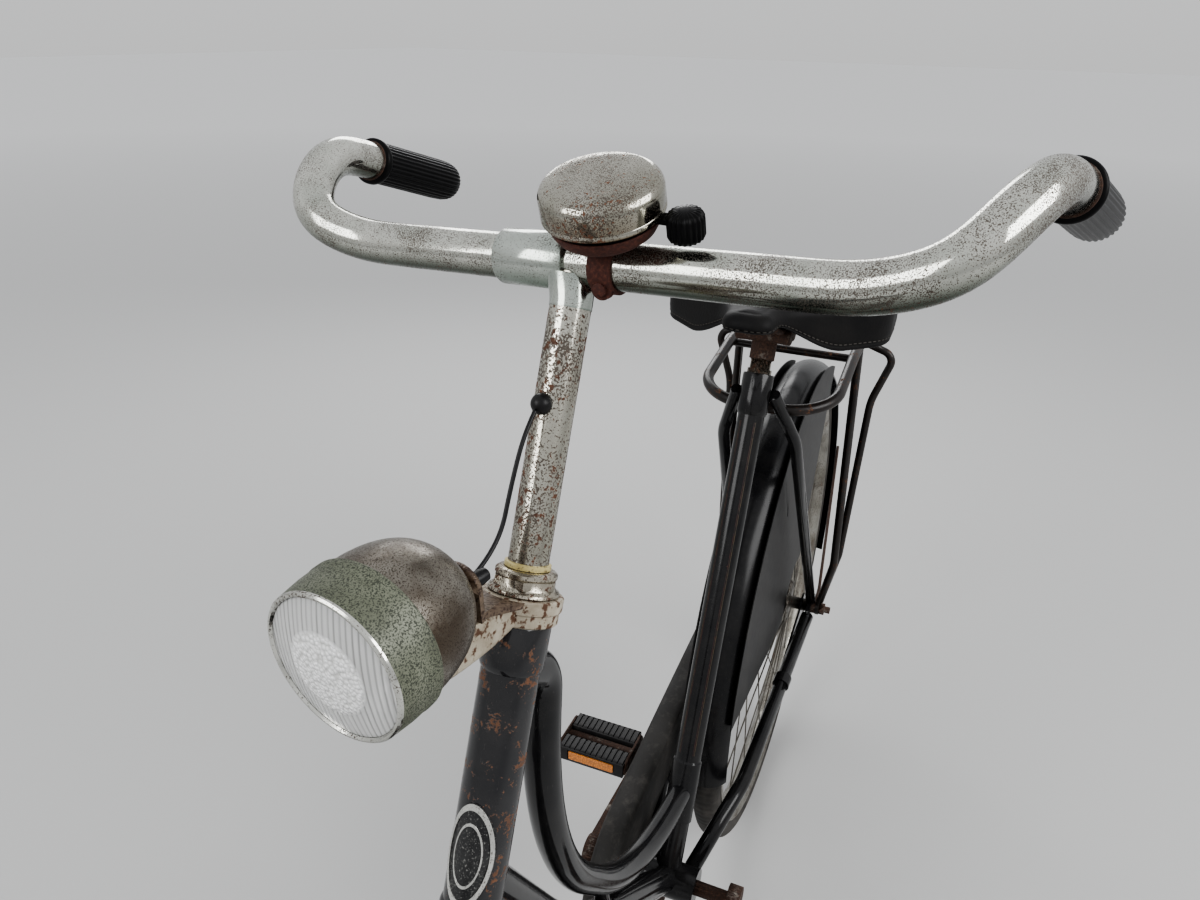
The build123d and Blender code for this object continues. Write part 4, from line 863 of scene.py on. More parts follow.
dish = [(-13.5, 3.0), (-13.5, bell_radius - 14), (-12.6, bell_radius - 9.5), (-9.5, bell_radius - 5.6),
        (-6.0, bell_radius - 3.6), (-3.4, bell_radius - 2.9), (-3.0, bell_radius - 3.2),
        (-2.8, bell_radius - 6)]
strap_half = 6.6
strap = [(bell_at - strap_half, bar_radius + 0.2), (bell_at - strap_half, bar_radius + 1.6),
         (bell_at - strap_half + 0.5, bar_radius + 1.95), (bell_at + strap_half - 0.5, bar_radius + 1.95),
         (bell_at + strap_half, bar_radius + 1.6), (bell_at + strap_half, bar_radius + 0.2)]
post = slot(2 * 7.2, 2 * strap_half)
ear = slot(13, 2 * strap_half - 1)
ear_at = bell_seat + vec(9.0, 0, -9.0)
ear_half, ear_apart = 0.8, 1.4
clamp_screw = [(-3.4, 1.0), (-3.4, 3.0), (-2.2, 3.6), (3.4, 3.6), (4.0, 2.4)]
clamp_screw_at = bell_seat + vec(10.2, 0, -9.6)
bell_shapes = [about_bell(dish, 80), about_bar(strap, 64),
               prism(post, bar_radius - 1, bell_rise - 9, bell_across, -bell_back, bell_seat)]
bell_shapes += [prism(ear, ear_apart * along - ear_half, ear_apart * along + ear_half, -UP, SIDE, ear_at)
                for along in (-1, 1)]
bell_shapes.append(lathe(clamp_screw, clamp_screw_at, vec(1, 0, 0), SIDE, 24))
make_on_fork("bell_underside", bell_shapes, rust_red, ["bell_base"])

gap_band = [(-3.2, bell_radius - 4.6), (-2.9, bell_radius - 3.6), (0.8, bell_radius - 2.6),
            (0.8, bell_radius - 6)]
knob_at = bell_foot - bell_back * 3.0 + bell_across * (bell_radius + 11) - bell_lean * 3
knob_skin = np.array([(-7.6, 5.5), (-6.6, 8.2), (-4.6, 9.0), (4.0, 9.0), (6.2, 8.0), (7.4, 5.6),
                      (7.9, 2.2)])
lever_half = 1.3
lever_at = knob_at - bell_across * 14 + bell_lean * 1.5


def knob_ribs(angle):
    """Twenty round ribs: 0.42 cos 20 a."""
    return 0.42 * np.cos(angle * 20)


make_on_fork("bell_lever", [
    about_bell(gap_band, 72),
    tube(knob_at + knob_skin[:, :1] * bell_lean, knob_skin[:, 1], SIDE, 160, knob_ribs),
    prism(slot(32, 7.4), -lever_half, lever_half, bell_across, -bell_back, lever_at),
], grip_rubber, sharp=60)

# Headset and stem ring: columns are the distance along the steering axis and the radius

lower_race = [(crown_at, 15.0), (crown_at, 17.2), (crown_at + race_height, 17.5),
              (crown_at + race_height, 15.0)]
upper_race = [(plate_at - race_height, 14.0), (plate_at - race_height, 17.0), (plate_at - 0.4, 17.5),
              (plate_at, 14.0)]
lock_nut = [(0.6, 14), (0.6, 18.6), (1.4, 19.4), (2.8, 19.0), (3.8, 17.2), (5.2, 16.4), (9.2, 16.2),
            (10.2, 16.9), (12.2, 16.8), (13.4, 15.2), (13.8, 12.0)]
lock_nut_flats = [(4.6, 16.0), (4.8, 18.2), (9.2, 18.2), (9.6, 16.8)]
nuts = [about_head(lower_race, 56), about_head(upper_race, 56)]
nuts += [about_head([(lock_nut_at + along, out) for along, out in profile], segments)
         for profile, segments in ((lock_nut, 64), (lock_nut_flats, 6))]
make_on_fork("headset_lock_nut", nuts, chrome_nuts, ["headset_nuts"])
cup_gap = 0.3
cups = [about_head([(low, 14.0), (low, 17.6), (low + 0.8, 18.5), (high - 0.8, 18.5), (high, 17.6),
                    (high, 14.0)], 56)
        for low, high in ((crown_at + race_height + cup_gap, head_tube_at),
                          (upper_cup_at, plate_at - race_height - cup_gap))]
make("headset_cups", cups, chrome_nuts, "frame", ["head_cups"])
wedge = [(0, 0), (0, 1.4), (0.5, 1.6), (2.6, 1.5), (3.0, 0.8), (3.0, -0.5)]
wedge_ring = about_head([(stem_ring_at + along, stem_radius + out) for along, out in wedge], 56)
make_on_fork("stem_wedge_ring", [wedge_ring], ring_yellow, ["stem_ring"])

# Lamp: its bracket, shell, ring, bezel, bowl and lens

lamp_radius, lamp_shell_length, lamp_rim_depth, lens_bulge = 39.0, 62.0, 24.0, 4.0
lamp_middle = on_steering(plate_at) + vec(112, 0, 34)
lamp_look = lamp_middle + vec(-11, -6, 2)
lamp_ahead = unit(vec(1, 0, -0.06))
lamp_up = np.cross(lamp_ahead, SIDE)
shell_length, glass_radius = 50.0, 35.2


def about_lamp(profile, segments):
    """A profile turned about the lamp's axis."""
    return lathe(profile, lamp_look, lamp_ahead, SIDE, segments)


def lamp_loop(profile, segments):
    """A closed profile turned about the lamp's axis."""
    return looped(turned(profile, lamp_look, lamp_ahead, SIDE, segments))


smooth_copy("lamp_bracket", "lamp_bracket_plate", bracket_rust)
collar = [(upper_cup_at + 0.8, 18.8), (upper_cup_at + 0.8, 20.0), (upper_cup_at + 1.6, 20.8),
          (plate_at - 4.5, 20.9), (plate_at - 3.6, 22.0), (plate_at + 2.6, 22.2), (plate_at + 3.4, 21.4),
          (plate_at + 3.5, 17.0), (plate_at - 1.0, 18.8)]
make_on_fork("bracket_collar", [looped(turned(collar, steer_foot, head_up, SIDE, 72))], bracket_coat)
arm_share = np.linspace(0, 1, 24)
arm_route = bezier(on_steering(plate_at - 3.5, 17, 6), on_steering(plate_at - 5, 27, 9),
                   lamp_look + vec(-46, 12, -32), lamp_look + vec(-23, 8, -28), len(arm_share))
arm_shape = flat_bar(arm_route, np.full(len(arm_share), 5.5), 13 + 12 * arm_share)
make_on_fork("bracket_arm", [arm_shape], bracket_coat)
sleeve = [(0, 2.6), (0.6, 3.9), (10, 4.1), (14, 3.4), (15, 2.0)]
sleeve_at = vec(lamp_middle[0] - lamp_shell_length - 3.5, 1, lamp_middle[2] - 1)
make_on_fork("wire_sleeve", [lathe(sleeve, sleeve_at, vec(-1, 0.25, 0.1), SIDE, 28)], wire_rubber)

shell_curve = bezier((0, lamp_radius - 1.7), (-shell_length * 0.7, lamp_radius - 1.2),
                     (-shell_length, lamp_radius * 0.62), (-shell_length, 0.4), 28)
make_on_fork("lamp_back", [about_lamp(shell_curve, 96)], shell_coat, ["lamp_shell"])
ring = [(-1.6, lamp_radius - 3), (-1.6, lamp_radius - 0.5), (-0.9, lamp_radius + 0.15),
        (2.4, lamp_radius + 0.15), (3.0, lamp_radius - 0.25), (lamp_rim_depth * 0.45, lamp_radius - 0.4),
        (lamp_rim_depth * 0.8, lamp_radius - 1.3), (lamp_rim_depth - 2.0, glass_radius + 2.2),
        (lamp_rim_depth - 2.4, glass_radius - 0.6), (lamp_rim_depth * 0.5, glass_radius - 0.6),
        (lamp_rim_depth * 0.5, glass_radius - 2)]
make_on_fork("lamp_front_ring", [lamp_loop(ring, 96)], ring_coat, ["lamp_rim"])
bezel = [(lamp_rim_depth + along, glass_radius + out) for along, out in
         ((-2.2, 2.25), (-1.2, 2.1), (-0.4, 1.3), (-0.3, 0.3), (-1.4, -0.5), (-2.2, -0.3))]
make_on_fork("lamp_bezel", [lamp_loop(bezel, 96)], chrome_bezel)
bowl = [(lamp_rim_depth * 0.5 + 4, glass_radius - 0.9), (6.0, glass_radius - 5), (-6.0, glass_radius - 14),
        (-14.0, 9.0), (-15.0, 1.0)]
bowl_back = [(-16.0, 1.0), (-15.0, 10.0), (-7.0, glass_radius - 13), (5.0, glass_radius - 4),
             (lamp_rim_depth * 0.5 + 3, glass_radius - 0.7)]
bulb = [(-15, 6.0), (-8, 6.0), (-4, 5.0), (1, 5.4), (5, 4.4), (7.4, 2.0)]
make_on_fork("lamp_bowl", [lamp_loop(bowl + bowl_back, 64), about_lamp(bulb, 32)], bowl_silver)

front_at = lamp_rim_depth - 1.6
rib_pitch = 3.0


def lens_shape():
    """A round pane in vertical strips: v runs across and each strip spans the circle's chord there;
    the front bulges by a paraboloid and carries vertical ribs |sin(pi v / pitch)|, the back is flat."""
    radius = glass_radius - 0.6
    v = radius * np.sin(np.linspace(-1, 1, 121) * pi / 2 * 0.995)
    chord = np.sqrt(radius**2 - v**2)
    w = chord[:, None] * np.cos(np.linspace(0, pi, 29))[None]
    inside = np.clip(1 - (v[:, None]**2 + w**2) / radius**2, 0, 1)
    ribs = 0.42 * np.abs(np.sin(v * pi / rib_pitch))[:, None] * inside**0.3
    front = front_at + lens_bulge * 1.2 * inside + ribs
    back = np.full_like(front, front_at - 2.2)
    v = np.broadcast_to(v[:, None], w.shape)
    skins = [lamp_look + along[..., None] * lamp_ahead + v[..., None] * SIDE + w[..., None] * lamp_up
             for along in (front, back)]
    return capped(np.concatenate([skins[0], skins[1][:, ::-1]], axis=1))


disc_middle = steer(lamp_look + lamp_ahead * (front_at + 2))
lens_glass = clear_glass("lens_clear", "lens_glass", disc_middle, disc_radius=20.5)
lens = make_on_fork("lamp_glass", [lens_shape()], lens_glass, ["lamp_lens"], sharp=70)
# A value across the lens's flutes, which paints shade in their grooves.
lens_points = np.empty(3 * len(lens.data.vertices))
lens.data.vertices.foreach_get("co", lens_points)
lens_across = steer(lamp_look + SIDE) - steer(lamp_look)
lens_side = (lens_points.reshape(-1, 3) / MM - steer(lamp_look)) @ lens_across
flute_shade = lens.data.attributes.new("flute_shade", "FLOAT", "POINT")
flute_shade.data.foreach_set("value", np.abs(np.sin(lens_side * pi / rib_pitch)))

# Lamp wire with its grommet; the wire's points are listed, the same as the part's

grommet_radius, wire_radius, sleeve_length = 5.7, 1.2, 8.0
grommet_middle = on_steering(stem_ring_at + 87, forward=stem_radius + 1.5)
grommet = arc_profile((0, 0), grommet_radius, 175, 5, 18)
make_on_fork("wire_bung", [lathe(grommet, grommet_middle, head_forward, SIDE, 40)], wire_rubber,
             ["wire_grommet"])
tab_x = lamp_middle[0] - lamp_shell_length - 0.3 - plate_thickness
wire_end = vec(tab_x - sleeve_length - 0.3, 0, lamp_middle[2])
wire_start = grommet_middle + vec(grommet_radius + 0.3, 0, -2)
wire_points = [
    wire_start,
    wire_start + vec(10, 0, -8),
    wire_start + (wire_end - wire_start) * 0.45 + vec(-4, 0, 0),
    wire_end + vec(-22, 0, 5),
    wire_end,
]


def cord_curve(name, points, radius, material):
    """A NURBS curve with the route's points as its control points, and a round bevel."""
    curve = bpy.data.curves.new(name, "CURVE")
    curve.dimensions = "3D"
    curve.resolution_u = 8
    curve.render_resolution_u = 8
    curve.bevel_depth = radius * MM
    curve.bevel_resolution = 4
    curve.use_fill_caps = True
    spline = curve.splines.new("NURBS")
    spline.points.add(len(points) - 1)
    for place, point in zip(spline.points, points):
        place.co = (*(point * MM), 1.0)
    spline.order_u = 3
    spline.use_endpoint_u = True
    curve.materials.append(material)
    return placed(name, curve)


wire_route = [steer(p) for p in wire_points]
wire = cord_curve("lamp_lead", wire_route, wire_radius, wire_rubber)
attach(wire, "fork")
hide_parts("lamp_wire")

# Head tube with its lugs

head_lug_radius = head_tube_radius + 1.8
head_bore = 14.0
top_lug = head_tube_at + head_tube_length - lug_length
head_profile = [
    (head_tube_at, head_bore), (head_tube_at, head_lug_radius), (head_tube_at + 1, head_lug_radius + 0.3),
    (head_tube_at + lug_length - 3, head_lug_radius), (head_tube_at + lug_length - 1, head_lug_radius - 0.6),
    (head_tube_at + lug_length, head_tube_radius + 0.4), (top_lug - 0.5, head_tube_radius + 0.2),
    (top_lug, head_tube_radius + 0.6), (top_lug + 1.5, head_lug_radius - 0.4),
    (top_lug + 3, head_lug_radius), (top_lug + lug_length - 1, head_lug_radius + 0.3),
    (top_lug + lug_length, head_lug_radius), (top_lug + lug_length, head_bore)]
make("head_tube_body", [about_head(head_profile, 72)], enamel_rusty, "frame", ["head_tube"])

# Swan-neck tube and down tube: their inner corners are shares of the rise from end to end

swan_join, swan_drop, swan_reach, swan_dip = 102.0, 26.0, 46.5, 11.5
swan_end = bracket + seat_up * swan_join
swan_start = on_steering(upper_cup_at - swan_drop)
swan_neck = on_steering(upper_cup_at - swan_drop - swan_dip, forward=-swan_reach)
swan_rise = swan_neck - swan_end
swan_points = [swan_start, swan_neck, swan_end + vec(1.03 * swan_rise[0], 0, 0.63 * swan_rise[2]),
               swan_end + vec(0.487 * swan_rise[0], 0, 0.087 * swan_rise[2]), swan_end]
swan_route = rounded(swan_points, bend_radii(swan_points, [0.33, 0.8, 0.8]), radians(2.5))
make("swan_neck", [tube(swan_route, swan_tube_radius, SIDE, 48)], enamel, "frame", ["swan_tube"])
down_start = on_steering(head_tube_at + 38)
down_rise = down_start - bracket
down_points = [down_start, bracket + vec(0.682 * down_rise[0], 0, 0.54 * down_rise[2]), bracket]
down_route = rounded(down_points, bend_radii(down_points, [0.375]), radians(2.5))
bridge_ends = [between(down_points[1], bracket, 0.29), between(swan_points[2], swan_points[3], 0.59)]
bridge = tube(np.array(bridge_ends), 6.5, SIDE, 24)
make("lower_tube", [tube(down_route, frame_tube_radius, SIDE, 48), bridge], enamel, "frame", ["down_tube"])

# Seat tube with the sleeve of the swan neck, its lug and its coach lines

seat_lug_radius = frame_tube_radius + 2.0
seat_lug_from = seat_tube_length - 44
seat_profile = [(10, frame_tube_radius), (swan_join - 34, frame_tube_radius),
                (swan_join - 33, frame_tube_radius + 1.6), (swan_join + 34, frame_tube_radius + 1.6),
                (swan_join + 36, frame_tube_radius), (seat_lug_from - 1, frame_tube_radius),
                (seat_lug_from, frame_tube_radius + 0.8), (seat_lug_from + 3, seat_lug_radius),
                (seat_tube_length - 2, seat_lug_radius + 0.3), (seat_tube_length, seat_lug_radius - 0.4),
                (seat_tube_length, 13.0)]
make("seat_tube_body", [lathe(seat_profile, bracket, seat_up, SIDE, 64)], enamel, "frame", ["seat_tube"])
seat_ahead = np.cross(SIDE, seat_up)
line_low, line_high = swan_join + 44, seat_lug_from - 8


def line_on_tube(angle, width):
    """A thin painted line along the seat tube, at an angle counted from forwards to the rider's left."""
    turn = radians(angle) + np.array([-0.5, 0.0, 0.5]) * width / frame_tube_radius
    out = np.cos(turn)[:, None] * seat_ahead + np.sin(turn)[:, None] * SIDE
    heights = np.linspace(line_low, line_high, 24)[:, None, None]
    skin = bracket + heights * seat_up + out[None] * (frame_tube_radius + 0.12)
    under = bracket + heights * seat_up + out[None, ::-1] * (frame_tube_radius - 0.4)
    return capped(np.concatenate([skin, under], axis=1))


for name, paint, angle, width in (("coach_lines_gold", gold_line, 36, 0.7),
                                  ("coach_lines_red", red_line, 30, 0.6)):
    make(name, [line_on_tube(side * angle, width) for side in (1, -1)], paint, "frame")

# Nodes whose own shape is right, each with its finish

finish_of = {
    "bottom_bracket": enamel, "chain_stays": enamel, "seat_stays": enamel, "fork": enamel,
    "stand_bracket": rust_brown, "brake_arm": enamel, "stand": rust_brown, "rear_axle": rust_brown,
    "front_axle": rust_brown, "cranks": rust_brown, "rear_carrier": enamel_carrier,
    "head_badge": badge_field, "rear_mudguard_stays": rust_brown, "front_mudguard_stays": rust_brown,
    "seat_post": chrome_nuts, "rear_lamp": red, "pedal_left": rust_brown, "pedal_right": rust_brown,
    "front_hub_and_spokes": spoke_metal, "rear_hub_and_spokes": spoke_metal, "front_rim": chrome_rim,
    "rear_rim": chrome_rim}
for name, finish in finish_of.items():
    smooth_copy(name, name + "_piece", finish)

# Chain case: two halves that meet in front of the rear axle, each with a round opening

case_front_radius, case_rear_radius, case_step_at = 87.0, 58.0, 150.0
case_front_hole, case_rear_hole = 21.5, 36.0


def case_half(centre, hole, sign, inner, outer):
    """A plate round an opening. Its edge r(a) is that of the two circles and the lines that touch both,
    cut off at the step; the section goes from the opening over one face, round the edge and back."""
    flat = [0, 2]
    gap = (rear_axle - bracket)[flat]
    lean = np.arctan2(gap[1], gap[0])
    spread = np.arccos((case_front_radius - case_rear_radius) / np.hypot(*gap))
    turn = np.linspace(0, 2 * pi, 721)
    front = np.abs((turn - lean + pi) % (2 * pi) - pi) > spread
    circle_at = np.where(front, case_front_radius, case_rear_radius)
    foot = np.where(front[:, None], bracket[flat], rear_axle[flat])
    hull = foot + circle_at[:, None] * np.stack([np.cos(turn), np.sin(turn)], axis=-1) - centre[flat]
    after = np.roll(hull, -1, axis=0)
    hull = np.concatenate([between(hull, after, share) for share in np.linspace(0, 1, 60)])
    angle = np.arctan2(hull[:, 1], hull[:, 0])
    order = np.argsort(angle)
    view = np.linspace(-pi, pi, 240, endpoint=False)
    edge = np.interp(view, angle[order], np.hypot(*hull.T)[order], period=2 * pi)
    cosine = np.cos(view)
    limit = (rear_axle[0] + case_step_at - centre[0]) / np.where(np.abs(cosine) < 1e-6, 1e-6, cosine)
    edge = np.where(np.sign(cosine) == sign, np.minimum(edge, np.maximum(limit, hole + 6)), edge)
    # Columns: the share of the edge's radius, what is added to it, and the distance from the middle plane
    section = [(0.0, hole, inner + 2), (0.0, hole, outer - 1), (0.0, hole + 1.5, outer)]
    section += [(1.0, -9.0, outer), (1.0, -5.0, outer - 0.8), (1.0, -2.0, outer - 3.2),
                (1.0, -0.4, outer - 7.0), (1.0, 0.0, (inner + outer) / 2), (1.0, -0.4, inner + 7),
                (1.0, -2.0, inner + 3.2), (1.0, -5.0, inner + 0.8), (1.0, -9.0, inner)]
    section += [(0.0, hole + 1.5, inner)]
    share, add, level = (np.array(column)[None] for column in zip(*section))
    out = share * edge[:, None] + add
    return looped(np.stack([centre[0] + out * cosine[:, None], -np.broadcast_to(level, out.shape),
                            centre[2] + out * np.sin(view)[:, None]], axis=-1))


make("chain_cover", [case_half(bracket, case_front_hole, -1, 39.0, 68.0),
                     case_half(rear_axle, case_rear_hole, 1, 37.6, 53.4)],
     case_oilcloth, "frame", ["chain_case"])

# Tyres and mudguards: rings round the axle, angles counted from forwards, upwards


def wheel_rings(axle, out, across, turn):
    """Points at the radius out and the distance across, one ring for each angle round the axle."""
    return np.stack([axle[0] + out * np.cos(turn)[:, None], np.broadcast_to(across, out.shape),
                     axle[2] + out * np.sin(turn)[:, None]], axis=-1)


def tyre_shape(axle):
    """A ring of radius r(a, y): the section is a half circle of the tyre's width on straight beads, and
    on its crown r += 0.35 cos(6 pi y / w) - 0.6 clip(2 cos(180 a + 9 |y| / w) - 0.6, 0, 1), which makes
    ribs that run round the tyre, cut by grooves across."""
    half, seat = tyre_width / 2 - 0.4, tyre_seat_radius
    bead = rim_width / 2 - 2.8
    centre = tyre_radius - tyre_width / 2 - 0.6
    s = np.linspace(-pi / 2, pi / 2, 29)
    y = np.concatenate([[-bead, -bead, -bead - 0.6], half * np.sin(s), [bead + 0.6, bead, bead]])
    r = np.concatenate([[seat + 0.2, seat + 7.5, seat + 9.5], centre + (tyre_width / 2) * np.cos(s),
                        [seat + 9.5, seat + 7.5, seat + 0.2]])
    crown = np.clip((r - centre - 6) / 6, 0, 1)
    turn = np.linspace(0, 2 * pi, 720, endpoint=False)
    ribs = 0.35 * np.cos(6 * pi * y / tyre_width) * crown
    grooves = np.clip(2 * np.cos(180 * turn[:, None] + 9 * np.abs(y) / tyre_width) - 0.6, 0, 1)
    return looped(wheel_rings(axle, r + ribs - 0.6 * grooves * crown, y, turn))


def guard_shape(axle, start, stop):
    """A channel round the wheel: the section is an arc of circle as wide and deep as the guard, with a
    rolled bead along each edge, swept over the angle."""
    rise = (guard_width / 2)**2 / (2 * guard_depth) - guard_depth / 2
    reach = rise + guard_depth
    s = np.linspace(-1, 1, 33) * np.arctan2(guard_width / 2, rise)
    middle = guard_radius - reach
    outer = np.stack([middle + (reach + guard_wall - 0.1) * np.cos(s), (reach + 0.1) * np.sin(s)], axis=-1)
    inner = np.stack([middle + (reach - 0.3) * np.cos(s[::-1]), (reach - 0.9) * np.sin(s[::-1])], axis=-1)
    bead = np.linspace(0, pi, 7)[1:-1]
    edge = np.stack([outer[-1, 0] - 1.44 * np.sin(bead), outer[-1, 1] - 0.5 - 0.45 * (1 - np.cos(bead))],
                    axis=-1)
    section = np.concatenate([outer, edge, inner, edge[::-1] * [1, -1]])
    turn = np.radians(np.linspace(start, stop, 121))
    return capped(wheel_rings(axle, np.tile(section[:, 0], (len(turn), 1)), section[:, 1], turn))


make("tyre_rear", [tyre_shape(rear_axle)], tyre_rubber, frame["nodes"]["rear_tyre"]["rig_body"],
     ["rear_tyre"])
make("tyre_front", [tyre_shape(front_axle)], tyre_rubber, frame["nodes"]["front_tyre"]["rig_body"],
     ["front_tyre"], steered=True)
make("guard_rear", [guard_shape(rear_axle, -7.9, 195.9)], enamel_guard, "frame", ["rear_mudguard"])
make_on_fork("guard_front", [guard_shape(front_axle, 58.1, 211.9)], enamel_guard, ["front_mudguard"])

# Skirt guards: thin sheets with a leaf-shaped opening, each kept as two fans that meet along its middle

sheet_from, sheet_split, sheet_to = 7, 58, 112
sheet_hub_radius, sheet_edge_radius = 70, guard_radius - 4
sheet_inside, sheet_outside = 28.65, 29.95
leaf_from, leaf_to, leaf_half, leaf_reach = 256, 344, 10, 60


def sheet_fan(side, angles, opening_side):
    """A flat fan over the angle and the radius. Beside the opening its points are pushed out by
    4 h t (1 - t), t running along the leaf, less and less up to the leaf's reach."""
    middle = radians(sheet_split)
    a = np.radians(angles)[:, None]
    r = np.linspace(sheet_hub_radius, sheet_edge_radius, 60)[None]
    along, across = r * np.cos(a - middle), r * np.sin(a - middle)
    span = np.clip((along - leaf_from) / (leaf_to - leaf_from), 0, 1)
    near = np.clip(1 - np.abs(across) / leaf_reach, 0, 1)
    across = across + opening_side * 4 * leaf_half * span * (1 - span) * near
    x = rear_axle[0] + along * cos(middle) - across * sin(middle)
    z = rear_axle[2] + along * sin(middle) + across * cos(middle)
    back, front = (np.stack([x, np.full_like(x, side * level), z], axis=-1)
                   for level in (sheet_inside, sheet_outside))
    return capped(np.concatenate([front, back[:, ::-1]], axis=1))


sheets = [sheet_fan(side, angles, opening_side) for side in (1, -1)
          for angles, opening_side in ((np.linspace(sheet_from, sheet_split, 40), -1),
                                       (np.linspace(sheet_split, sheet_to, 50), 1))]
make("dress_sheets", sheets, sheet_vinyl, "frame", ["skirt_guards"], sharp=50)

# Saddle: cover, seams, rails, coils and clamp

saddle_base = bracket + seat_up * (seat_tube_length + 35)
saddle_half, saddle_height, nose_half, nose_lift, hem_drop = 124.0, 48.0, 26.0, 36.0, 8.0
saddle_level = saddle_base[2] + 10
nose_x, tail_x, root_x, wing_x = (saddle_base[0] + reach for reach in (103, -152, 55, -70))
# Columns: how far back, how far out from the middle, and the radius of the corner there
cover_corners = [(nose_x, nose_half, 18), (root_x + 2, nose_half + 2, 60), (wing_x + 36, saddle_half, 45),
                 (wing_x - 48, saddle_half, 40), (tail_x - 6, saddle_half - 64, 60)]


def cover_outline():
    """The cover's rounded outline as (x, y) pairs: its left half from the nose to the tail, and back."""
    corners = [vec(nose_x, 0, 0)] + [vec(x, half, 0) for x, half, radius in cover_corners]
    corners.append(vec(tail_x - 6, 0, 0))
    line = rounded(corners, [radius for x, half, radius in cover_corners], radians(4))
    left = at_lengths(line, np.linspace(0, run_lengths(line)[-1], 120))[:, :2]
    return np.concatenate([left, (left[1:-1] * [1, -1])[::-1]])


outline = cover_outline()
outline_out = np.roll(outline, -1, axis=0) - np.roll(outline, 1, axis=0)
outline_out = np.stack([outline_out[:, 1], -outline_out[:, 0]], axis=-1)
outline_out /= np.linalg.norm(outline_out, axis=1)[:, None]
outline_out *= np.sign((outline_out * (outline - [saddle_base[0] - 40, 0])).sum(1).mean())


def cover_ring(inset, height):
    """The outline moved in by inset, at a height over the saddle's level."""
    point = outline - outline_out * np.reshape(inset, (-1, 1))
    return np.stack([point[:, 0], point[:, 1], saddle_level + height], axis=-1)


def hem_height(low):
    """The height of a line that lies low over the hem, and how far the hem is lifted there. The hem
    rises towards the nose by t^2 (3 - 2 t) of the full lift, t growing along the root, and low
    shrinks as it does."""
    t = np.clip((outline[:, 0] - (root_x - 52)) / 68, 0, 1)
    lift = nose_lift * t**2 * (3 - 2 * t)
    return lift - hem_drop + low * (1 - lift / 60), lift


def cover_surface():
    """Rings from the lower inner edge out over a rolled hem, up the wall, round the shoulder and in over
    the crown. The shoulder is a quarter of an ellipse, inset = 13 (1 - cos a) and height = v sin a; over
    the crown the height grows by rise (1 - (1 - s)^2) up to the spine, less a dip where one sits."""
    hem = [(9.0, 3.0), (7.5, 0.6), (5.0, 0.2), (2.6, 0.5), (1.4, 2.0), (1.6, 4.2), (2.2, 5.4), (1.8, 7.0),
           (0.8, 10.0)]
    rings = [cover_ring(inset, hem_height(low)[0]) for inset, low in hem]
    wall_top, lift = hem_height(10)
    rise = 4.5 - 2.5 * lift / nose_lift
    shoulder = saddle_height - 0.6 - rise
    tall = np.minimum(13.0, shoulder - wall_top - 0.5)
    rings += [cover_ring(0.5, wall_top + (shoulder - tall - wall_top) * share) for share in (0.1, 0.6)]
    rings += [cover_ring(0.4 + 13 * (1 - np.cos(a)), shoulder - tall + tall * np.sin(a))
              for a in np.linspace(0, pi / 2, 9)]
    rim = rings[-1]
    share = np.clip((outline[:, 0] - tail_x) / (nose_x - tail_x), 0, 1)
    dip = 2.5 * np.sin(np.clip(share / 0.8, 0, 1) * pi)**2
    spine = np.stack([np.clip(outline[:, 0], tail_x + 40, nose_x - 22), np.zeros(len(outline)),
                      saddle_level + shoulder + rise - dip], axis=-1)
    for s in (0.06, 0.14, 0.25, 0.38, 0.52, 0.66, 0.8, 0.92, 1.0):
        crown = between(rim, spine, s)
        crown[:, 2] = between(rim[:, 2], spine[:, 2], 1 - (1 - s)**2)
        rings.append(crown)
    ceiling = saddle_level + saddle_height - 13
    inner = spine * [1, 1, 0] + [0, 0, ceiling]
    shelf = rings[0].copy()
    shelf[:, 2] = np.maximum(shelf[:, 2], ceiling - 1)
    return capped(np.stack([inner, shelf] + rings))


cover = make("saddle_cover", [cover_surface()], cover_leather, "frame", ["saddle"], sharp=60)


def stitches(inset, low):
    """Short threads laid along the cover's outline at a steady pitch."""
    pitch, length = 6.0, 3.6
    line = cover_ring(inset, hem_height(low)[0])
    line = np.concatenate([line, line[:1]])
    starts = np.arange(0, run_lengths(line)[-1] - pitch, pitch)
    places = at_lengths(line, starts[:, None] + np.array([0, length / 2, length]))
    return [tube(place, 0.55, UP, 6) for place in places]


make("saddle_stitches", stitches(1.35, 7.4), seam_thread, "frame")

rail_z = saddle_base[2] + 18
rail_tip = saddle_level + 36 - 3.8
coil_x = tail_x + 32
coil_low = rail_z + 3.2
coil_high = saddle_level + 36 - 4.2
clamp_middle = saddle_base + vec(0, 0, 11)
clamp_drum = [(-29.5, 7.6), (-28.6, 8.8), (-24, 9.0), (-21.0, 8.6), (21.0, 8.6), (24, 9.0), (28.6, 8.8),
              (29.5, 7.6)]
clamp_bolt = [(-30, 4.6), (-29, 6.4), (29, 6.4), (30, 4.6)]
clamp_neck = [(-20, 11.4), (-19, 13.4), (4, 13.4), (5, 12)]
drum_ahead = 8.075


def coil_spring(side):
    """A spring of four and a half turns, drawn in at its middle: its radius is 11.6 - 3 sin^2(pi t)."""
    t = np.linspace(0, 1, 161)
    radius = 11.6 - 3.0 * np.sin(t * pi)**2
    return tube(np.stack([coil_x + radius * np.cos(t * 9 * pi), side * 34 + radius * np.sin(t * 9 * pi),
                          coil_low + t * (coil_high - coil_low)], axis=-1), 2.3, UP, 12)


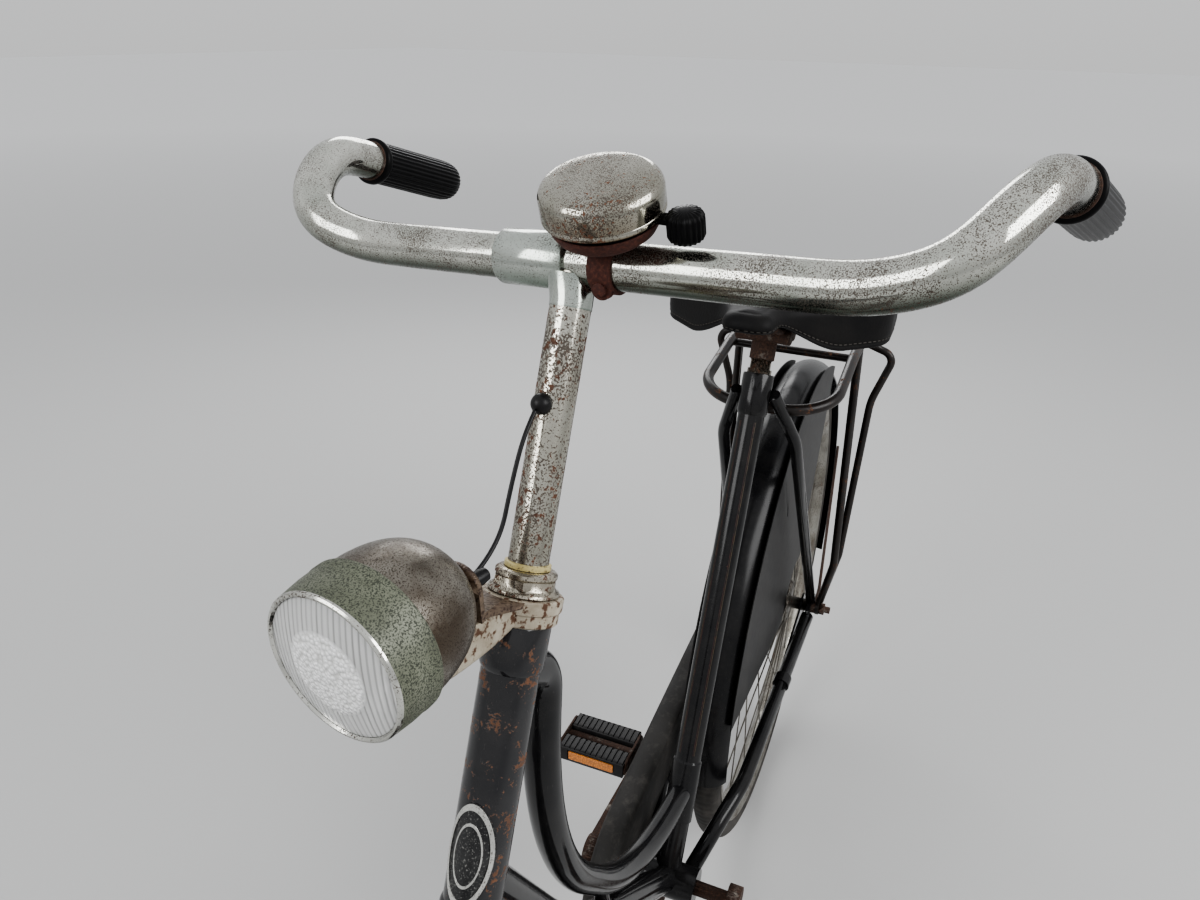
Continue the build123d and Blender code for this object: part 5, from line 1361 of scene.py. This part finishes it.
rail_shapes = []
for side in (1, -1):
    rail_points = [vec(coil_x, side * 20, rail_z), vec(root_x - 30, side * 20, rail_z),
                   vec(root_x + 2, side * 9, rail_tip), vec(nose_x - 22, side * 8, rail_tip)]
    rail_shapes.append(tube(rounded(rail_points, bend_radii(rail_points, [0.4, 0.4])), 3.4, SIDE, 20))
    rail_shapes.append(coil_spring(side))
    coil_plate_at = vec(coil_x, side * 24, rail_z + 1.6)
    rail_shapes.append(prism(slot(46, 9), -1.4, 1.4, SIDE, vec(1, 0, 0), coil_plate_at))
rail_shapes += [lathe(clamp_drum, clamp_middle + vec(ahead, 0, 0), SIDE, UP, 28)
                for ahead in (-drum_ahead, drum_ahead)]
rail_shapes.append(lathe(clamp_bolt, clamp_middle, SIDE, UP, 6))
rail_shapes.append(lathe(clamp_neck, saddle_base, seat_up, SIDE, 40))
make("saddle_clamp_and_springs", rail_shapes, rust_brown, "frame", ["saddle_frame"])

# Pedals: ribbed rubber blocks, with an amber reflector set in the outer face of each

crank_length, crank_thickness, pedal_gap = 170.0, 14.0, 6.0
crank_turn = radians(4)
crank_back = vec(-cos(crank_turn), 0, -sin(crank_turn))
block_width, block_height, block_apart, pedal_length, plate_wall = 27.0, 24.0, 43.0, 96.0, 3.0
block_run = pedal_length - 2 * plate_wall
groove_pitch, groove_depth, reflector_depth = 7.5, 1.6, 1.6
reflector_face = np.array([(-31.5, -5.4), (-30.5, -6.4), (30.5, -6.4), (31.5, -5.4), (31.5, 5.4),
                           (30.5, 6.4), (-30.5, 6.4), (-31.5, 5.4)])
reflector_in = block_width / 2 - 1.8


def pedal_block(middle, along):
    """Rings of a rounded box over the share s of the block's length. Its upper and lower faces are cut
    by grooves where cos(2 pi y / pitch) is high, and its outer long face is sunk round the reflector."""
    on_face, recess_half_length, recess_height_share = 0.93, 33, 0.62
    stations = np.linspace(-0.5, 0.5, 361)
    wide, tall = squared(np.linspace(0, 2 * pi, 48, endpoint=False), 0.28)
    groove = np.clip(np.cos(stations * block_run * 2 * pi / groove_pitch) * 3 - 1.2, 0, 1)[:, None]
    depth = block_height / 2 - 0.1 - groove_depth * groove * (np.abs(tall) > on_face)[None]
    on_recess = (wide * along > on_face) & (np.abs(tall) < recess_height_share)
    sunk = on_recess[None] * (np.abs(stations * block_run) < recess_half_length)[:, None]
    half_wide = block_width / 2 - 0.1 - reflector_depth * sunk
    return capped(np.stack([middle[0] + half_wide * wide[None],
                            np.broadcast_to(middle[1] + stations[:, None] * block_run, depth.shape),
                            middle[2] + depth * tall[None]], axis=-1))


for side, inner, word in ((1, 70.0, "left"), (-1, 82.0, "right")):
    pedal_centre = bracket - crank_back * crank_length * side
    near = inner + crank_thickness + pedal_gap + plate_wall
    middles = {along: pedal_centre + vec(along * block_apart / 2, side * (near + block_run / 2), 0)
               for along in (1, -1)}
    body = frame["nodes"]["pedal_blocks_" + word]["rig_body"]
    make("pedal_rubbers_" + word, [pedal_block(middle, along) for along, middle in middles.items()],
         block_rubber, body, ["pedal_blocks_" + word], sharp=40)
    make("pedal_reflectors_" + word,
         [prism(reflector_face, 0.0, 1.5, SIDE * along, UP, middle + vec(along * reflector_in, 0, 0), 0.3)
          for along, middle in middles.items()], amber, body)

# Badge: a silvery rim and an inner oval line round a dark blank field

badge_half_width, badge_half_height, badge_thickness = 13.5, 29.0, 1.25
badge_at = head_tube_at + lug_length + 2 + badge_half_height


def oval_band(low, high, lift):
    """A raised oval band on the head tube, between two shares of the plate's size."""
    turn = np.linspace(0, 2 * pi, 96, endpoint=False)
    rings = []
    for share, rise in ((low, -0.3), (low + 0.01, lift), (high - 0.01, lift), (high, -0.3)):
        y = badge_half_width * share * np.sin(turn)
        height = badge_at + badge_half_height * share * np.cos(turn)
        out = np.sqrt((head_tube_radius + badge_thickness + rise)**2 - y**2)
        rings.append(steer_foot + height[:, None] * head_up + out[:, None] * head_forward
                     + y[:, None] * SIDE)
    return looped(np.stack(rings))


make("badge_rim", [oval_band(0.86, 0.995, 0.35), oval_band(0.56, 0.63, 0.2)], badge_metal, "frame", sharp=50)

# Any CAD node that still shows gets the frame's paint

for node in frame["nodes"].values():
    if not node.hide_render:
        node.data.materials.clear()
        node.data.materials.append(enamel)

# Floor, backdrop and light

floor_mesh = bpy.data.meshes.new("studio_floor")
floor_mesh.from_pydata([(-36, -24, 0), (8, -24, 0), (8, 24, 0), (-36, 24, 0)], [], [[0, 1, 2, 3]])
floor_mesh.materials.append(fading_floor("floor_light_fade"))
placed("studio_floor", floor_mesh)


def soft_sky(name, strength):
    """A backdrop that grows paler from just under the horizon upwards."""
    world = bpy.data.worlds.new(name)
    world.use_nodes = True
    tree = world.node_tree
    place = new_node(tree, "TexCoord", {}).outputs["Generated"]
    level = new_node(tree, "SeparateXYZ", {"Vector": place}).outputs["Z"]
    half = new_node(tree, "Math", {0: level, 1: 0.5, 2: 0.5}, operation="MULTIPLY_ADD").outputs[0]
    tone = toned(tree, half, [(0.40, (0.60, 0.60, 0.595)), (0.72, (0.95, 0.96, 0.98))])
    backdrop = tree.nodes["Background"]
    tree.links.new(tone, backdrop.inputs["Color"])
    backdrop.inputs["Strength"].default_value = strength
    return world


def soft_light(name, place, target, size, power):
    """A rectangular area light that points from place to target."""
    data = bpy.data.lights.new(name, "AREA")
    data.shape = "RECTANGLE"
    data.size, data.size_y = size
    data.energy = power
    away = unit(np.array(place, float) - np.array(target, float))
    right = unit(np.cross(UP, away))
    placed(name, data).matrix_world = standing(right, np.cross(away, right), away, place)


bpy.context.scene.world = soft_sky("studio_world", 0.86)
bpy.context.scene.view_settings.look = "AgX - Medium High Contrast"
soft_light("window_light", (0.3, 2.6, 2.4), (0.1, 0, 0.8), (2.4, 1.6), 70)
soft_light("fill_light", (2.6, -1.6, 2.2), (0.1, 0, 0.8), (1.8, 1.8), 44)
soft_light("back_light", (-2.4, -1.2, 2.0), (-0.2, 0, 0.7), (1.6, 1.2), 25)
